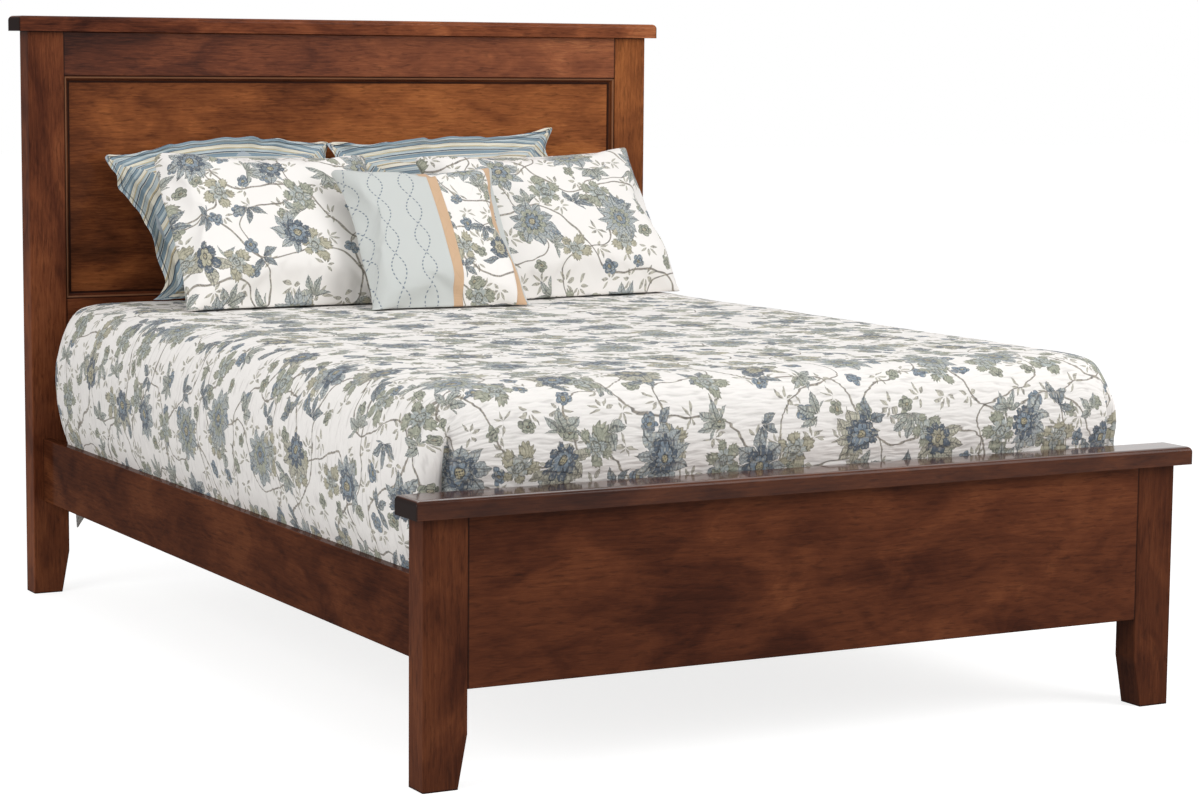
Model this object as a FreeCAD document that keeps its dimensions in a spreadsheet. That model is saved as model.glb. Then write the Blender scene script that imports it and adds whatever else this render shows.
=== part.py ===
"""Queen-size panel bed, dressed with a quilted coverlet and five pillows.

Frame: +Z up, the floor at Z 0. +X is to the right and +Y runs from the footboard to the headboard, as seen
by someone who stands at the foot. The origin is the middle of the bed's box, on the floor. All sizes are in
millimetres.
"""

import FreeCAD, Part
import math
import os

import Sketcher
from FreeCAD import Placement, Rotation, Vector

DRIVING_SIZES = {
    # posts and overall heights
    "post_face": (86, "width of a post's front face"),
    "post_depth": (60, "depth of a post, front to back"),
    "post_taper": (18, "how far a post's inner face comes in at the floor"),
    "taper_height": (97, "height at which the taper of a post starts"),
    "edge_ease": (2.5, "radius on the long edges of posts, rails and boards"),
    "head_height": (1351, "floor to the top of the headboard's cap"),
    "foot_height": (517, "floor to the top of the footboard's cap"),
    "foot_room": (4.7, "gap between the footboard's cap and the coverlet"),
    "head_room": (21.7, "gap between the coverlet and the headboard's posts"),
    # caps
    "cap_thick": (35, "thickness of both caps"),
    "cap_side": (25, "overhang of a cap past the posts at each end"),
    "cap_round": (10, "radius on the upper edges of a cap"),
    "head_cap_front": (18, "overhang of the headboard's cap over the pillows"),
    "head_cap_back": (8, "overhang of the headboard's cap at the wall side"),
    "foot_cap_front": (25, "overhang of the footboard's cap at the front"),
    "foot_cap_back": (5, "overhang of the footboard's cap at the mattress side"),
    "dowel_radius": (5, "radius of the dowels under the caps"),
    "dowel_up": (17, "how far a dowel stands up in its cap"),
    "dowel_down": (25, "how far a dowel reaches below its cap"),
    "dowel_spacing": (420, "distance between the dowels along a cap"),
    # headboard frame and panel
    "frame_setback": (3, "the headboard's rails lie this far behind the posts' faces"),
    "frame_thick": (34, "thickness of the headboard's rails"),
    "top_rail_height": (102, "height of the headboard's upper rail"),
    "low_rail_height": (240, "height of the headboard's lower rail"),
    "low_rail_bottom": (454, "floor to the headboard's lower rail"),
    "panel_recess": (15, "the headboard's panel lies this far behind the posts' faces"),
    "panel_thick": (16, "thickness of the headboard's panel and of every tongue"),
    "tongue_depth": (10, "how far a tongue goes into its groove"),
    "groove_extra": (0.5, "how much deeper a groove is than its tongue"),
    "groove_gap": (0.15, "gap on each side of a tongue in its groove"),
    # panel moulding
    "mould_width": (16, "width of the moulding round the headboard's panel"),
    "mould_height": (11.5, "height of the moulding above the panel"),
    "mould_flat": (2.5, "width of the moulding's outer flat"),
    "mould_radius": (5, "radius of the moulding's bead and of its hollow"),
    "mould_lip": (1.5, "height of the moulding's inner edge"),
    # footboard panel
    "foot_panel_bottom": (176, "floor to the footboard's panel"),
    "foot_panel_thick": (26, "thickness of the footboard's panel"),
    "foot_panel_setback": (1, "the footboard's panel lies this far behind the posts' faces"),
    # side rails
    "rail_inset": (24.4, "a side rail lies this far inside the posts' outer faces"),
    "rail_thick": (22, "thickness of a side rail"),
    "rail_bottom": (219, "floor to the side rails"),
    "rail_height": (148, "height of a side rail"),
    # hook and slot plates
    "plate_width": (16, "width of the steel plates in rails and posts"),
    "plate_lift": (12, "the plates end this far from a rail's lower and upper edges"),
    "hook_plate_thick": (3, "thickness of the plate in a rail's end"),
    "slot_plate_thick": (2.5, "thickness of the plate in a post"),
    "hook_width": (4.6, "thickness of a hook"),
    "hook_neck": (16, "height of a hook's neck"),
    "hook_drop": (8, "how far a hook's nose hangs below its neck"),
    "hook_nose": (5, "length of a hook's nose behind the slot plate"),
    "hook_end": (20, "from a plate's ends to the necks of its two hooks"),
    "slot_screw_end": (6, "from a slot plate's end to its screw"),
    "hook_screw_end": (9, "from a hook plate's end to its screw"),
    "slot_play": (0.4, "gap round a hook in its slot"),
    "pocket_play": (3, "room round a hook in the post's pocket"),
    # screws
    "screw_radius": (2, "radius of the wood screws"),
    "screw_head": (4, "radius of a screw's flat head"),
    "screw_sink": (2.2, "depth of a screw's flat head"),
    "plate_screw": (28, "length of the screws in the steel plates"),
    "board_screw": (36, "length of the screws in cleats, slats and legs"),
    "screw_gap": (0.05, "gap round a screw in its hole"),
    # cleats and slats
    "cleat_width": (25, "width of the cleats that carry the slats"),
    "cleat_height": (25, "height of the cleats"),
    "cleat_lift": (3, "the cleats start this far above a rail's lower edge"),
    "cleat_end": (40, "the cleats stop this far from the posts"),
    "slat_width": (89, "width of a slat"),
    "slat_thick": (19, "thickness of a slat"),
    "slat_play": (1, "gap between a slat's end and the side rail"),
    "slat_end": (190, "from a mattress end to the middle of the nearest slat"),
    # middle legs and their glides
    "leg_size": (45, "width and depth of a middle leg"),
    "leg_lift": (24, "floor to the bottom of a middle leg"),
    "leg_bore": (70, "depth of the hole for a glide's stem"),
    "stem_radius": (4, "radius of a glide's threaded stem"),
    "stem_length": (54, "length of a glide's stem above its foot"),
    "stem_gap": (0.05, "gap round a stem in its nut"),
    "bore_gap": (0.5, "gap round a stem in its leg"),
    "glide_radius": (15, "radius of a glide's foot"),
    "glide_height": (6, "height of a glide's foot"),
    "nut_flange": (10, "radius of a tee nut's flange"),
    "nut_flange_thick": (1.5, "thickness of a tee nut's flange"),
    "nut_barrel": (5.5, "radius of a tee nut's barrel"),
    "nut_depth": (9, "length of a tee nut's barrel"),
    # box spring and mattress
    "spring_height": (190, "height of the box spring"),
    "spring_side": (8, "the box spring lies this far inside the mattress at each side"),
    "spring_inset": (6, "the box spring lies this far inside the mattress at each end"),
    "mattress_width": (1524, "width of the mattress"),
    "mattress_length": (2032, "length of the mattress"),
    "mattress_height": (230, "height of the mattress"),
    "mattress_corner": (100, "radius of the mattress's upright corners"),
    "mattress_shoulder": (60, "radius of the mattress's upper edge"),
    "mattress_edge": (25, "radius of the mattress's lower edge"),
    "spring_corner": (85, "radius of the box spring's upright corners"),
    "spring_edge": (8, "radius of the box spring's upper and lower edges"),
    # coverlet
    "cover_thick": (8, "thickness of the quilted coverlet over the mattress"),
    "cover_gap": (0.3, "gap between the coverlet and what it covers"),
    "cover_swell": (22, "how far the coverlet's sides swell past the side rails' inner faces"),
    "cover_foot_corner": (40, "how much rounder the coverlet's foot corners are than the mattress's"),
    "cover_head_corner": (10, "how much rounder the coverlet's head corners are than the mattress's"),
    "cover_hem_gap": (4, "from the slats to the coverlet's hem"),
    "cover_tip_drop": (118, "how far the coverlet's two head corners hang below its hem"),
    "cover_tip_width": (120, "width of the two hanging corners"),
    # pillows: width, height along its lean, thickness, lean and turn in degrees
    "sham_width": (610, "width of a striped sham"),
    "sham_height": (412, "height of a striped sham"),
    "sham_thick": (138, "thickness of a striped sham"),
    "sham_lean": (16, "lean of the striped shams"),
    "floral_width": (600, "width of a floral sham"),
    "floral_height": (455, "height of a floral sham"),
    "floral_thick": (150, "thickness of a floral sham"),
    "floral_lean": (41, "lean of the floral shams"),
    "accent_width": (421, "width of the accent pillow"),
    "accent_height": (412, "height of the accent pillow"),
    "accent_thick": (118, "thickness of the accent pillow"),
    "accent_lean": (39, "lean of the accent pillow"),
    "sham_spread": (4, "half the gap between the two striped shams"),
    "floral_spread": (44, "half the gap between the two floral shams"),
    "pillow_draw": (14, "how far a pillow's sides draw in between its corners"),
    "pillow_corner": (22, "radius of a pillow's corners"),
    "pillow_seat": (0.3, "gap between a pillow and the coverlet"),
}

SLAT_COUNT = 6
LEGGED_SLATS = range(2, SLAT_COUNT - 2)  # the middle two
DOWEL_COUNT = 5
INNER_DOWELS = range(1, DOWEL_COUNT - 1)
MERGE = 1  # how far a hook and its plate run into each other before they are fused
SAME_PLACE = 1e-6
TIP_SETBACK = 0.3  # share of the mattress's corner radius by which a hanging corner stands in

# Shares of the coverlet's swell, each with its height as a share of the wall, and turns round its shoulder.
SWELL_SECTIONS = ((0, 0), (0.62, 0.26), (1, 0.58), (0.72, 1))
SHOULDER_TURNS = (35, 65, 90)

# A pillow's sections: shares of its width, each with how much of its drawn-in sides is left.
CUSHION_SECTIONS = ((1.0, 1.0), (0.95, 0.6), (0.85, 0.1), (0.7, -0.4), (0.5, -0.6), (0.28, -0.4))
CROWN_POWER = 2.1
CORNER_FULLNESS = 0.55

# A pillow starts this far in front of the last one and is pushed back in steps, until a step is small enough.
PILLOW_ROW = 150
PUSHES = 12
PUSH_ENOUGH = 0.1
PILLOWS = (  # name, kind, which side of its row, X of the row's middle, turn, roll, what it leans on
    ("striped_sham_left", "sham", -1, -59, 0, 2.5, ("headboard",)),
    ("striped_sham_right", "sham", 1, -59, 0, 2.5, ("headboard",)),
    ("floral_sham_left", "floral", -1, 41, 4.7, -1.5, ("striped_sham_left", "striped_sham_right")),
    ("floral_sham_right", "floral", 1, 41, 7.0, 1.5, ("striped_sham_left", "striped_sham_right")),
    ("accent_pillow", "accent", 0, -20, -6.5, 0, ("floral_sham_left", "floral_sham_right")),
)
SIDES = {"left": -1, "right": 1}
ENDS = {"foot": -1, "head": 1}

doc = FreeCAD.newDocument("PanelBed")
sheet = doc.addObject("Spreadsheet::Sheet", "Sizes")
nodes = []


class Measure:
    """A length that holds both its expression on the sheet and its present value."""

    def __init__(self, text, value):
        self.text = text
        self.value = float(value)

    def __add__(self, other):
        other = measure(other)
        return Measure(f"({self.text} + {other.text})", self.value + other.value)

    def __sub__(self, other):
        other = measure(other)
        return Measure(f"({self.text} - {other.text})", self.value - other.value)

    def __mul__(self, other):
        other = measure(other)
        return Measure(f"({self.text} * {other.text})", self.value * other.value)

    def __truediv__(self, other):
        other = measure(other)
        return Measure(f"({self.text} / {other.text})", self.value / other.value)

    def __neg__(self):
        return Measure(f"(0 - {self.text})", -self.value)

    __radd__ = __add__
    __rmul__ = __mul__


def measure(number):
    """A plain number as a Measure; a Measure stays as it is."""
    return number if isinstance(number, Measure) else Measure(f"({float(number):g})", number)


def fill_sheet():
    """Writes the driving sizes into the sheet and returns them as Measures by name."""
    for row, (alias, (value, meaning)) in enumerate(DRIVING_SIZES.items(), start=1):
        sheet.set(f"A{row}", alias)
        sheet.set(f"B{row}", str(value))
        sheet.set(f"C{row}", meaning)
        sheet.setAlias(f"B{row}", alias)
    doc.recompute()
    return {alias: Measure(f"Sizes.{alias}", sheet.get(alias)) for alias in DRIVING_SIZES}


size = fill_sheet()

# Places that several pieces share.
cover_reach = size["cover_gap"] + size["cover_thick"]
tucked = size["mattress_width"] / 2 + cover_reach
rail_inner = tucked + size["cover_gap"]
rail_middle = rail_inner + size["rail_thick"] / 2
rail_outer = rail_inner + size["rail_thick"]
half_span = rail_outer + size["rail_inset"]
inner_face = half_span - size["post_face"]
foot_gap = size["foot_cap_back"] + size["foot_room"] + cover_reach
clear_length = foot_gap + size["mattress_length"] + cover_reach + size["head_room"]
foot_face = (size["foot_cap_front"] - clear_length - size["head_cap_back"]) / 2
head_face = foot_face + clear_length
head_under_cap = size["head_height"] - size["cap_thick"]
foot_under_cap = size["foot_height"] - size["cap_thick"]
frame_front = head_face + size["frame_setback"]
panel_front = head_face + size["panel_recess"]
panel_back = panel_front + size["panel_thick"]
top_rail_bottom = head_under_cap - size["top_rail_height"]
low_rail_top = size["low_rail_bottom"] + size["low_rail_height"]
foot_panel_front = foot_face - size["post_depth"] + size["foot_panel_setback"]
foot_panel_back = foot_panel_front + size["foot_panel_thick"]
rail_top = size["rail_bottom"] + size["rail_height"]
plate_bottom = size["rail_bottom"] + size["plate_lift"]
plate_top = rail_top - size["plate_lift"]
cleat_bottom = size["rail_bottom"] + size["cleat_lift"]
cleat_top = cleat_bottom + size["cleat_height"]
slat_top = cleat_top + size["slat_thick"]
mattress_bottom = slat_top + size["spring_height"]
mattress_top = mattress_bottom + size["mattress_height"]
mattress_foot = foot_face + foot_gap
mattress_head = mattress_foot + size["mattress_length"]
mattress_middle = mattress_foot + size["mattress_length"] / 2
cover_top = mattress_top + size["cover_thick"]
groove_depth = size["tongue_depth"] + size["groove_extra"]
tongue_front = foot_panel_front + (size["foot_panel_thick"] - size["panel_thick"]) / 2
tongue_back = tongue_front + size["panel_thick"]


def bind(thing, **sizes):
    """Ties properties of an object to expressions; two underscores stand for a dot."""
    for name, amount in sizes.items():
        path = name.replace("__", ".")
        thing.setExpression(path, measure(amount).text)


def put(thing, x=0, y=0, z=0):
    """Ties the base point of an object's placement."""
    bind(thing, Placement__Base__x=x, Placement__Base__y=y, Placement__Base__z=z)


def node(thing, label):
    """Marks an object as a finished sub-part under its own name."""
    thing.Label = label
    nodes.append(thing)
    return thing


def block(label, x, y, z):
    """A box between two X, two Y and two Z places, in either order."""
    box = doc.addObject("Part::Box", label)
    lows = []
    for side, (first, second) in zip(("Length", "Width", "Height"), (x, y, z)):
        low, high = sorted((measure(first), measure(second)), key=lambda m: m.value)
        bind(box, **{side: high - low})
        lows.append(low)
    put(box, *lows)
    return box


def rod(label, radius, length, x, y, z, direction):
    """A cylinder that starts at a point and runs along a direction."""
    cylinder = doc.addObject("Part::Cylinder", label)
    bind(cylinder, Radius=radius, Height=length)
    cylinder.Placement = Placement(Vector(), Rotation(Vector(0, 0, 1), Vector(*direction)))
    put(cylinder, x, y, z)
    return cylinder


def fuse(label, things):
    """One solid from several that touch."""
    union = doc.addObject("Part::MultiFuse", label)
    union.Shapes = things
    union.Refine = True
    return union


def cut(label, base, tools):
    """A base with tools taken away."""
    cutting = doc.addObject("Part::Cut", label)
    cutting.Base = base
    cutting.Tool = tools[0] if len(tools) == 1 else fuse(label + " tools", tools)
    return cutting


def together(label, things):
    """Separate solids that share one node."""
    bundle = doc.addObject("Part::Compound", label)
    bundle.Links = things
    return bundle


def origin_plane(body, role):
    """One of a body's own origin planes."""
    return next(plane for plane in body.Origin.OriginFeatures if plane.Role == role)


def draw(sketch, corners):
    """Draws a closed outline. A corner is (x, y), or (x, y, centre_x, centre_y) where an arc leads to it."""
    places = [(measure(corner[0]), measure(corner[1])) for corner in corners]
    for index, start in enumerate(places):
        following = corners[(index + 1) % len(corners)]
        end = places[(index + 1) % len(corners)]
        first = Vector(start[0].value, start[1].value, 0)
        last = Vector(end[0].value, end[1].value, 0)
        if len(following) == 2:
            sketch.addGeometry(Part.LineSegment(first, last))
            continue
        centre = Vector(measure(following[2]).value, measure(following[3]).value, 0)
        middle = (first + last) * 0.5 - centre
        middle.normalize()
        sketch.addGeometry(Part.Arc(first, centre + middle * (first - centre).Length, last))
    for index, place in enumerate(places):
        before = (index - 1) % len(places)
        point = point_at(sketch, index, place)
        sketch.addConstraint(
            Sketcher.Constraint("Coincident", before, point_at(sketch, before, place), index, point))
        for kind, amount in zip(("DistanceX", "DistanceY"), place):
            tie(sketch, kind, index, point, amount)
    for index, corner in enumerate(corners):
        if len(corner) == 4:
            arc = (index - 1) % len(corners)
            tie(sketch, "DistanceX", arc, 3, measure(corner[2]))


def point_at(sketch, index, place):
    """The point number of the end of a piece of geometry that lies at a place."""
    spot = Vector(place[0].value, place[1].value, 0)
    return 1 if sketch.getPoint(index, 1).distanceToPoint(spot) < SAME_PLACE else 2


def tie(sketch, kind, geometry, point, amount):
    """Sets how far a point lies from the sketch's origin, along one axis."""
    if amount.value == 0:
        axis = -2 if kind == "DistanceX" else -1
        sketch.addConstraint(Sketcher.Constraint("PointOnObject", geometry, point, axis))
        return
    number = sketch.addConstraint(Sketcher.Constraint(kind, -1, 1, geometry, point, amount.value))
    sketch.setExpression(f"Constraints[{number}]", amount.text)


def padded(label, role, corners, depth):
    """A body with one outline on an origin plane, padded along that plane's normal."""
    body = doc.addObject("PartDesign::Body", label)
    sketch = body.newObject("Sketcher::SketchObject", label + " outline")
    sketch.AttachmentSupport = [(origin_plane(body, role), "")]
    sketch.MapMode = "FlatFace"
    draw(sketch, corners)
    pad = body.newObject("PartDesign::Pad", label + " pad")
    pad.Profile = sketch
    bind(pad, Length=depth)
    doc.recompute()
    return body


def ease(body, radius, wanted):
    """Rounds the edges of a body for which wanted(edge) is true."""
    base = body.Tip
    names = [f"Edge{i}" for i, edge in enumerate(base.Shape.Edges, start=1) if wanted(edge)]
    fillet = body.newObject("PartDesign::Fillet", body.Label + " ease")
    fillet.Base = (base, names)
    bind(fillet, Radius=radius)
    doc.recompute()
    return body


def edge_run(edge):
    """How far an edge reaches along X, Y and Z."""
    box = edge.BoundBox
    return box.XLength, box.YLength, box.ZLength


def upright(edge):
    """Whether an edge rises more than it runs sideways."""
    run_x, run_y, rise = edge_run(edge)
    return rise > run_x + run_y


def rectangle(x, y):
    """Corners of a rectangle between two X and two Y places, anticlockwise."""
    return [(x[0], y[0]), (x[1], y[0]), (x[1], y[1]), (x[0], y[1])]


def board(label, x, y, z, along):
    """A board with eased long edges, between two places on each axis."""
    body = padded(label, "XY_Plane", rectangle(x, y), measure(z[1]) - z[0])
    put(body, z=z[0])
    axis = "XYZ".index(along)
    return ease(body, size["edge_ease"], lambda edge: edge_run(edge)[axis] > max(
        edge_run(edge)[other] for other in range(3) if other != axis))


def screw(label, length, x, y, z, direction, gap=0):
    """A flat-head wood screw, or its hole when a gap is given. It runs from its head along a direction."""
    turn = Rotation(Vector(0, 0, 1), Vector(*direction))
    head = doc.addObject("Part::Cone", label + " head")
    bind(head, Radius1=size["screw_head"] + gap, Radius2=size["screw_radius"] + gap)
    bind(head, Height=size["screw_sink"])
    head.Placement = Placement(Vector(), turn)
    put(head, x, y, z)
    shank = rod(label + " shank", size["screw_radius"] + gap, measure(length), x, y, z, direction)
    return fuse(label, [head, shank])


# ---------------------------------------------------------------- posts and caps


def post(end, side):
    """A post of the headboard or footboard, before its mortises are cut: tapered on its inner face only."""
    sign = SIDES[side]
    outer, inner = sign * half_span, sign * inner_face
    top = head_under_cap if end == "head" else foot_under_cap
    corners = [
        (outer, 0),
        (inner + sign * size["post_taper"], 0),
        (inner, size["taper_height"]),
        (inner, top),
        (outer, top),
    ]
    body = padded(f"{end} {side} post blank", "XZ_Plane", corners, size["post_depth"])
    put(body, y=head_face + size["post_depth"] if end == "head" else foot_face)
    return ease(body, size["edge_ease"], upright)


def panel_groove(end, side):
    """The groove in a post's inner face that takes the panel's tongue and the rails' tenons."""
    sign = SIDES[side]
    if end == "head":
        front, back = panel_front, panel_back
        low, high = size["low_rail_bottom"], head_under_cap
    else:
        front, back = tongue_front, tongue_back
        low, high = size["foot_panel_bottom"], foot_under_cap
    across = (front - size["groove_gap"], back + size["groove_gap"])
    reach = (sign * inner_face, sign * (inner_face + groove_depth))
    return block(f"{end} {side} groove", reach, across, (low, high))


def dowel_places():
    """X places of the dowels under a cap: one in each post, and a row between them."""
    middle = half_span - size["post_face"] / 2
    return [-middle, -size["dowel_spacing"], measure(0), size["dowel_spacing"], middle]


def dowel_line(end):
    """Y place of the dowels under a cap."""
    if end == "head":
        return frame_front + size["frame_thick"] / 2
    return foot_panel_front + size["foot_panel_thick"] / 2


def dowel(end, number, gap=0):
    """A dowel that stands in the cap and in the wood below it, or its hole when a gap is given."""
    under = head_under_cap if end == "head" else foot_under_cap
    length = size["dowel_down"] + size["dowel_up"] + 2 * measure(gap)
    place = (dowel_places()[number], dowel_line(end), under - size["dowel_down"] - gap)
    return rod(f"{end} dowel {number}", size["dowel_radius"] + gap, length, *place, (0, 0, 1))


def make_posts():
    """Four posts with their grooves, slot-plate mortises, hook pockets and dowel holes."""
    for end in ENDS:
        for side in SIDES:
            tools = [panel_groove(end, side), *slot_mortise(end, side)]
            tools += slot_plate_screws(end, side, size["screw_gap"])
            tools.append(dowel(end, 0 if side == "left" else DOWEL_COUNT - 1, size["screw_gap"]))
            name = f"{end}board_{side}_post"
            node(cut(name, post(end, side), tools), name)


def make_caps():
    """The two caps, rounded along their upper edges."""
    head_back = head_face + size["post_depth"]
    foot_front = foot_face - size["post_depth"]
    reach = half_span + size["cap_side"]
    for end, front, back, top in (
        ("head", head_face - size["head_cap_front"], head_back + size["head_cap_back"], size["head_height"]),
        ("foot", foot_front - size["foot_cap_front"], foot_face + size["foot_cap_back"], size["foot_height"]),
    ):
        outline = rectangle((-reach, reach), (front, back))
        body = padded(f"{end} cap blank", "XY_Plane", outline, size["cap_thick"])
        put(body, z=top - size["cap_thick"])
        ease(body, size["edge_ease"], upright)
        ease(body, size["cap_round"], lambda edge: edge.BoundBox.ZMin > size["cap_thick"].value / 2)
        holes = [dowel(end, number, size["screw_gap"]) for number in range(DOWEL_COUNT)]
        node(cut(f"{end}board_cap", body, holes), f"{end}board_cap")
        pegs = [dowel(end, number) for number in range(DOWEL_COUNT)]
        node(together(f"{end}board_cap_dowels", pegs), f"{end}board_cap_dowels")


# ---------------------------------------------------------------- headboard frame


def make_headboard_rail(name, low, high, groove_side):
    """A headboard rail with a tenon at each end and a groove for the panel along one edge."""
    back = frame_front + size["frame_thick"]
    body = board(f"{name} board", (-inner_face, inner_face), (frame_front, back), (low, high), "X")
    reach = inner_face + size["tongue_depth"]
    across = (panel_front, panel_back)
    tenons = [
        block(f"{name} tenon {sign}", (sign * inner_face, sign * reach), across, (low, high))
        for sign in SIDES.values()
    ]
    edge = low if groove_side == "under" else high
    depth = groove_depth if groove_side == "under" else -groove_depth
    across = (panel_front - size["groove_gap"], panel_back + size["groove_gap"])
    groove = block(f"{name} groove", (-reach, reach), across, (edge, edge + depth))
    tools = [groove]
    if groove_side == "under":
        tools += [dowel("head", number, size["screw_gap"]) for number in INNER_DOWELS]
    node(cut(name, fuse(f"{name} with tenons", [body, *tenons]), tools), name)


def make_headboard_panel():
    """The flat panel, held in grooves all round."""
    reach = inner_face + size["tongue_depth"]
    panel = block("headboard_panel", (-reach, reach), (panel_front, panel_back),
                  (low_rail_top - size["tongue_depth"], top_rail_bottom + size["tongue_depth"]))
    node(panel, "headboard_panel")


def moulding_profile(across):
    """Corners of the moulding's section as (across, Y): flat, bead, step, hollow and thin inner lip.

    across turns a distance from the strip's outer edge into a place on the sheet.
    """
    radius, lip, flat = size["mould_radius"], size["mould_lip"], size["mould_flat"]
    front = lambda height: panel_front - height
    step = size["mould_height"] - radius
    hollow = step - lip
    hollow_end = size["mould_width"] - flat
    return [
        (across(0), front(0)),
        (across(0), front(size["mould_height"])),
        (across(flat), front(size["mould_height"])),
        (across(flat + radius), front(step), across(flat), front(step)),
        (across(hollow_end - hollow), front(step)),
        (across(hollow_end), front(lip), across(hollow_end), front(step)),
        (across(size["mould_width"]), front(lip)),
        (across(size["mould_width"]), front(0)),
    ]


def swapped(corners):
    """The same corners with their two directions exchanged."""
    return [(c[1], c[0], *((c[3], c[2]) if len(c) == 4 else ())) for c in corners]


def make_mouldings():
    """Four mitred strips round the panel: each is a long strip cut to a trapezium by its mitres."""
    width = size["mould_width"]
    strips = {
        "top": lambda distance: top_rail_bottom - distance,
        "bottom": lambda distance: low_rail_top + distance,
        "left": lambda distance: distance - inner_face,
        "right": lambda distance: inner_face - distance,
    }
    for name, across in strips.items():
        label = f"panel_moulding_{name}"
        outer, inner = across(measure(0)), across(width)
        profile = moulding_profile(lambda distance: across(measure(distance)))
        if name in ("top", "bottom"):
            strip = padded(f"{label} strip", "YZ_Plane", swapped(profile), 2 * inner_face)
            put(strip, x=-inner_face)
            short = inner_face - width
            trapezium = [(-inner_face, outer), (inner_face, outer), (short, inner), (-short, inner)]
        else:
            strip = padded(f"{label} strip", "XY_Plane", profile, top_rail_bottom - low_rail_top)
            put(strip, z=low_rail_top)
            trapezium = [(outer, low_rail_top), (outer, top_rail_bottom),
                         (inner, top_rail_bottom - width), (inner, low_rail_top + width)]
        mitre = padded(f"{label} mitre", "XZ_Plane", trapezium, 2 * size["mould_height"])
        put(mitre, y=panel_front + size["mould_height"] / 2)
        common = doc.addObject("Part::MultiCommon", label)
        common.Shapes = [strip, mitre]
        node(common, label)


# ---------------------------------------------------------------- footboard panel


def make_footboard_panel():
    """The wide flat board of the footboard, with a tongue at each end."""
    body = board("footboard panel board", (-inner_face, inner_face), (foot_panel_front, foot_panel_back),
                 (size["foot_panel_bottom"], foot_under_cap), "X")
    reach = inner_face + size["tongue_depth"]
    tongues = [
        block(f"footboard tongue {sign}", (sign * inner_face, sign * reach), (tongue_front, tongue_back),
              (size["foot_panel_bottom"], foot_under_cap))
        for sign in SIDES.values()
    ]
    holes = [dowel("foot", number, size["screw_gap"]) for number in INNER_DOWELS]
    blank = fuse("footboard panel with tongues", [body, *tongues])
    node(cut("footboard_panel", blank, holes), "footboard_panel")


# ---------------------------------------------------------------- side rails and their hardware


def face_of(end):
    """Y place where a side rail meets the posts of one end."""
    return head_face if end == "head" else foot_face


def hook_bottoms():
    """Z places of the lower edges of the two hook necks of a plate."""
    upper = plate_top - size["hook_end"] - size["hook_neck"] - size["hook_drop"]
    return [plate_bottom + size["hook_end"], upper]


def slot_plate_thickness(end):
    """Signed thickness of a slot plate, from the post's face into the post."""
    return ENDS[end] * size["slot_plate_thick"]


def across_rail(sign, width):
    """Two X places, a width apart, about the middle of a side rail."""
    return (sign * (rail_middle - width / 2), sign * (rail_middle + width / 2))


def slot_mortise(end, side):
    """What a post loses to its slot plate: the plate's seat, and a pocket behind each slot."""
    sign, into = SIDES[side], ENDS[end]
    face = face_of(end)
    behind = face + slot_plate_thickness(end)
    seat = block(f"{end} {side} seat", across_rail(sign, size["plate_width"]), (face, behind),
                 (plate_bottom, plate_top))
    play = size["pocket_play"]
    across = across_rail(sign, size["hook_width"] + 2 * play)
    depth = into * (size["hook_nose"] + 2 * play)
    pockets = [
        block(f"{end} {side} pocket", across, (behind, behind + depth),
              (low - size["hook_drop"] - play, low + size["hook_neck"] + size["hook_drop"] + play))
        for low in hook_bottoms()
    ]
    return [seat, *pockets]


def screw_heights(from_end):
    """Z places of a plate's two screws, each at the same distance from its end."""
    return [plate_bottom + from_end, plate_top - from_end]


def slot_plate_screws(end, side, gap=0):
    """The two screws of a slot plate, from the post's face into the post."""
    sign, into = SIDES[side], ENDS[end]
    return [
        screw(f"{end} {side} post screw {number}", size["plate_screw"], sign * rail_middle, face_of(end), z,
              (0, into, 0), gap)
        for number, z in enumerate(screw_heights(size["slot_screw_end"]))
    ]


def hook_plate_screws(end, side, gap=0):
    """The two screws of a hook plate, from the rail's end into the rail."""
    sign, into = SIDES[side], ENDS[end]
    return [
        screw(f"{end} {side} rail screw {number}", size["plate_screw"], sign * rail_middle, face_of(end), z,
              (0, -into, 0), gap)
        for number, z in enumerate(screw_heights(size["hook_screw_end"]))
    ]


def make_slot_plates():
    """The slotted steel plates let into the posts."""
    for end in ENDS:
        for side, sign in SIDES.items():
            face = face_of(end)
            across = across_rail(sign, size["plate_width"])
            plate = block(f"{end} {side} slot plate blank", across, (face, face + slot_plate_thickness(end)),
                          (plate_bottom, plate_top))
            play = size["slot_play"]
            slots = [
                block(f"{end} {side} slot", across_rail(sign, size["hook_width"] + 2 * play),
                      (face - size["slot_plate_thick"] * 2, face + size["slot_plate_thick"] * 2),
                      (low - play, low + size["hook_neck"] + size["hook_drop"] + play))
                for low in hook_bottoms()
            ]
            holes = slot_plate_screws(end, side, size["screw_gap"])
            name = f"slot_plate_{end}_{side}"
            node(cut(name, plate, [*slots, *holes]), name)


def make_hook_plates():
    """The steel plates in the rails' ends, each with two hooks that drop behind the slot plate."""
    for end, into in ENDS.items():
        for side, sign in SIDES.items():
            face = face_of(end)
            plate = block(f"{end} {side} hook plate blank", across_rail(sign, size["plate_width"]),
                          (face - into * size["hook_plate_thick"], face), (plate_bottom, plate_top))
            behind = face + slot_plate_thickness(end) + into * size["slot_play"]
            parts = [plate]
            for low in hook_bottoms():
                across = across_rail(sign, size["hook_width"])
                tip = behind + into * size["hook_nose"]
                parts.append(block(f"{end} {side} neck", across, (face - into * MERGE, tip),
                                   (low, low + size["hook_neck"])))
                parts.append(block(f"{end} {side} nose", across, (behind, tip),
                                   (low - size["hook_drop"], low + MERGE)))
            name = f"hook_plate_{end}_{side}"
            holes = hook_plate_screws(end, side, size["screw_gap"])
            node(cut(name, fuse(f"{name} blank", parts), holes), name)


def cleat_ends():
    """Y places of the two ends of a cleat."""
    return foot_face + size["cleat_end"], head_face - size["cleat_end"]


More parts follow.
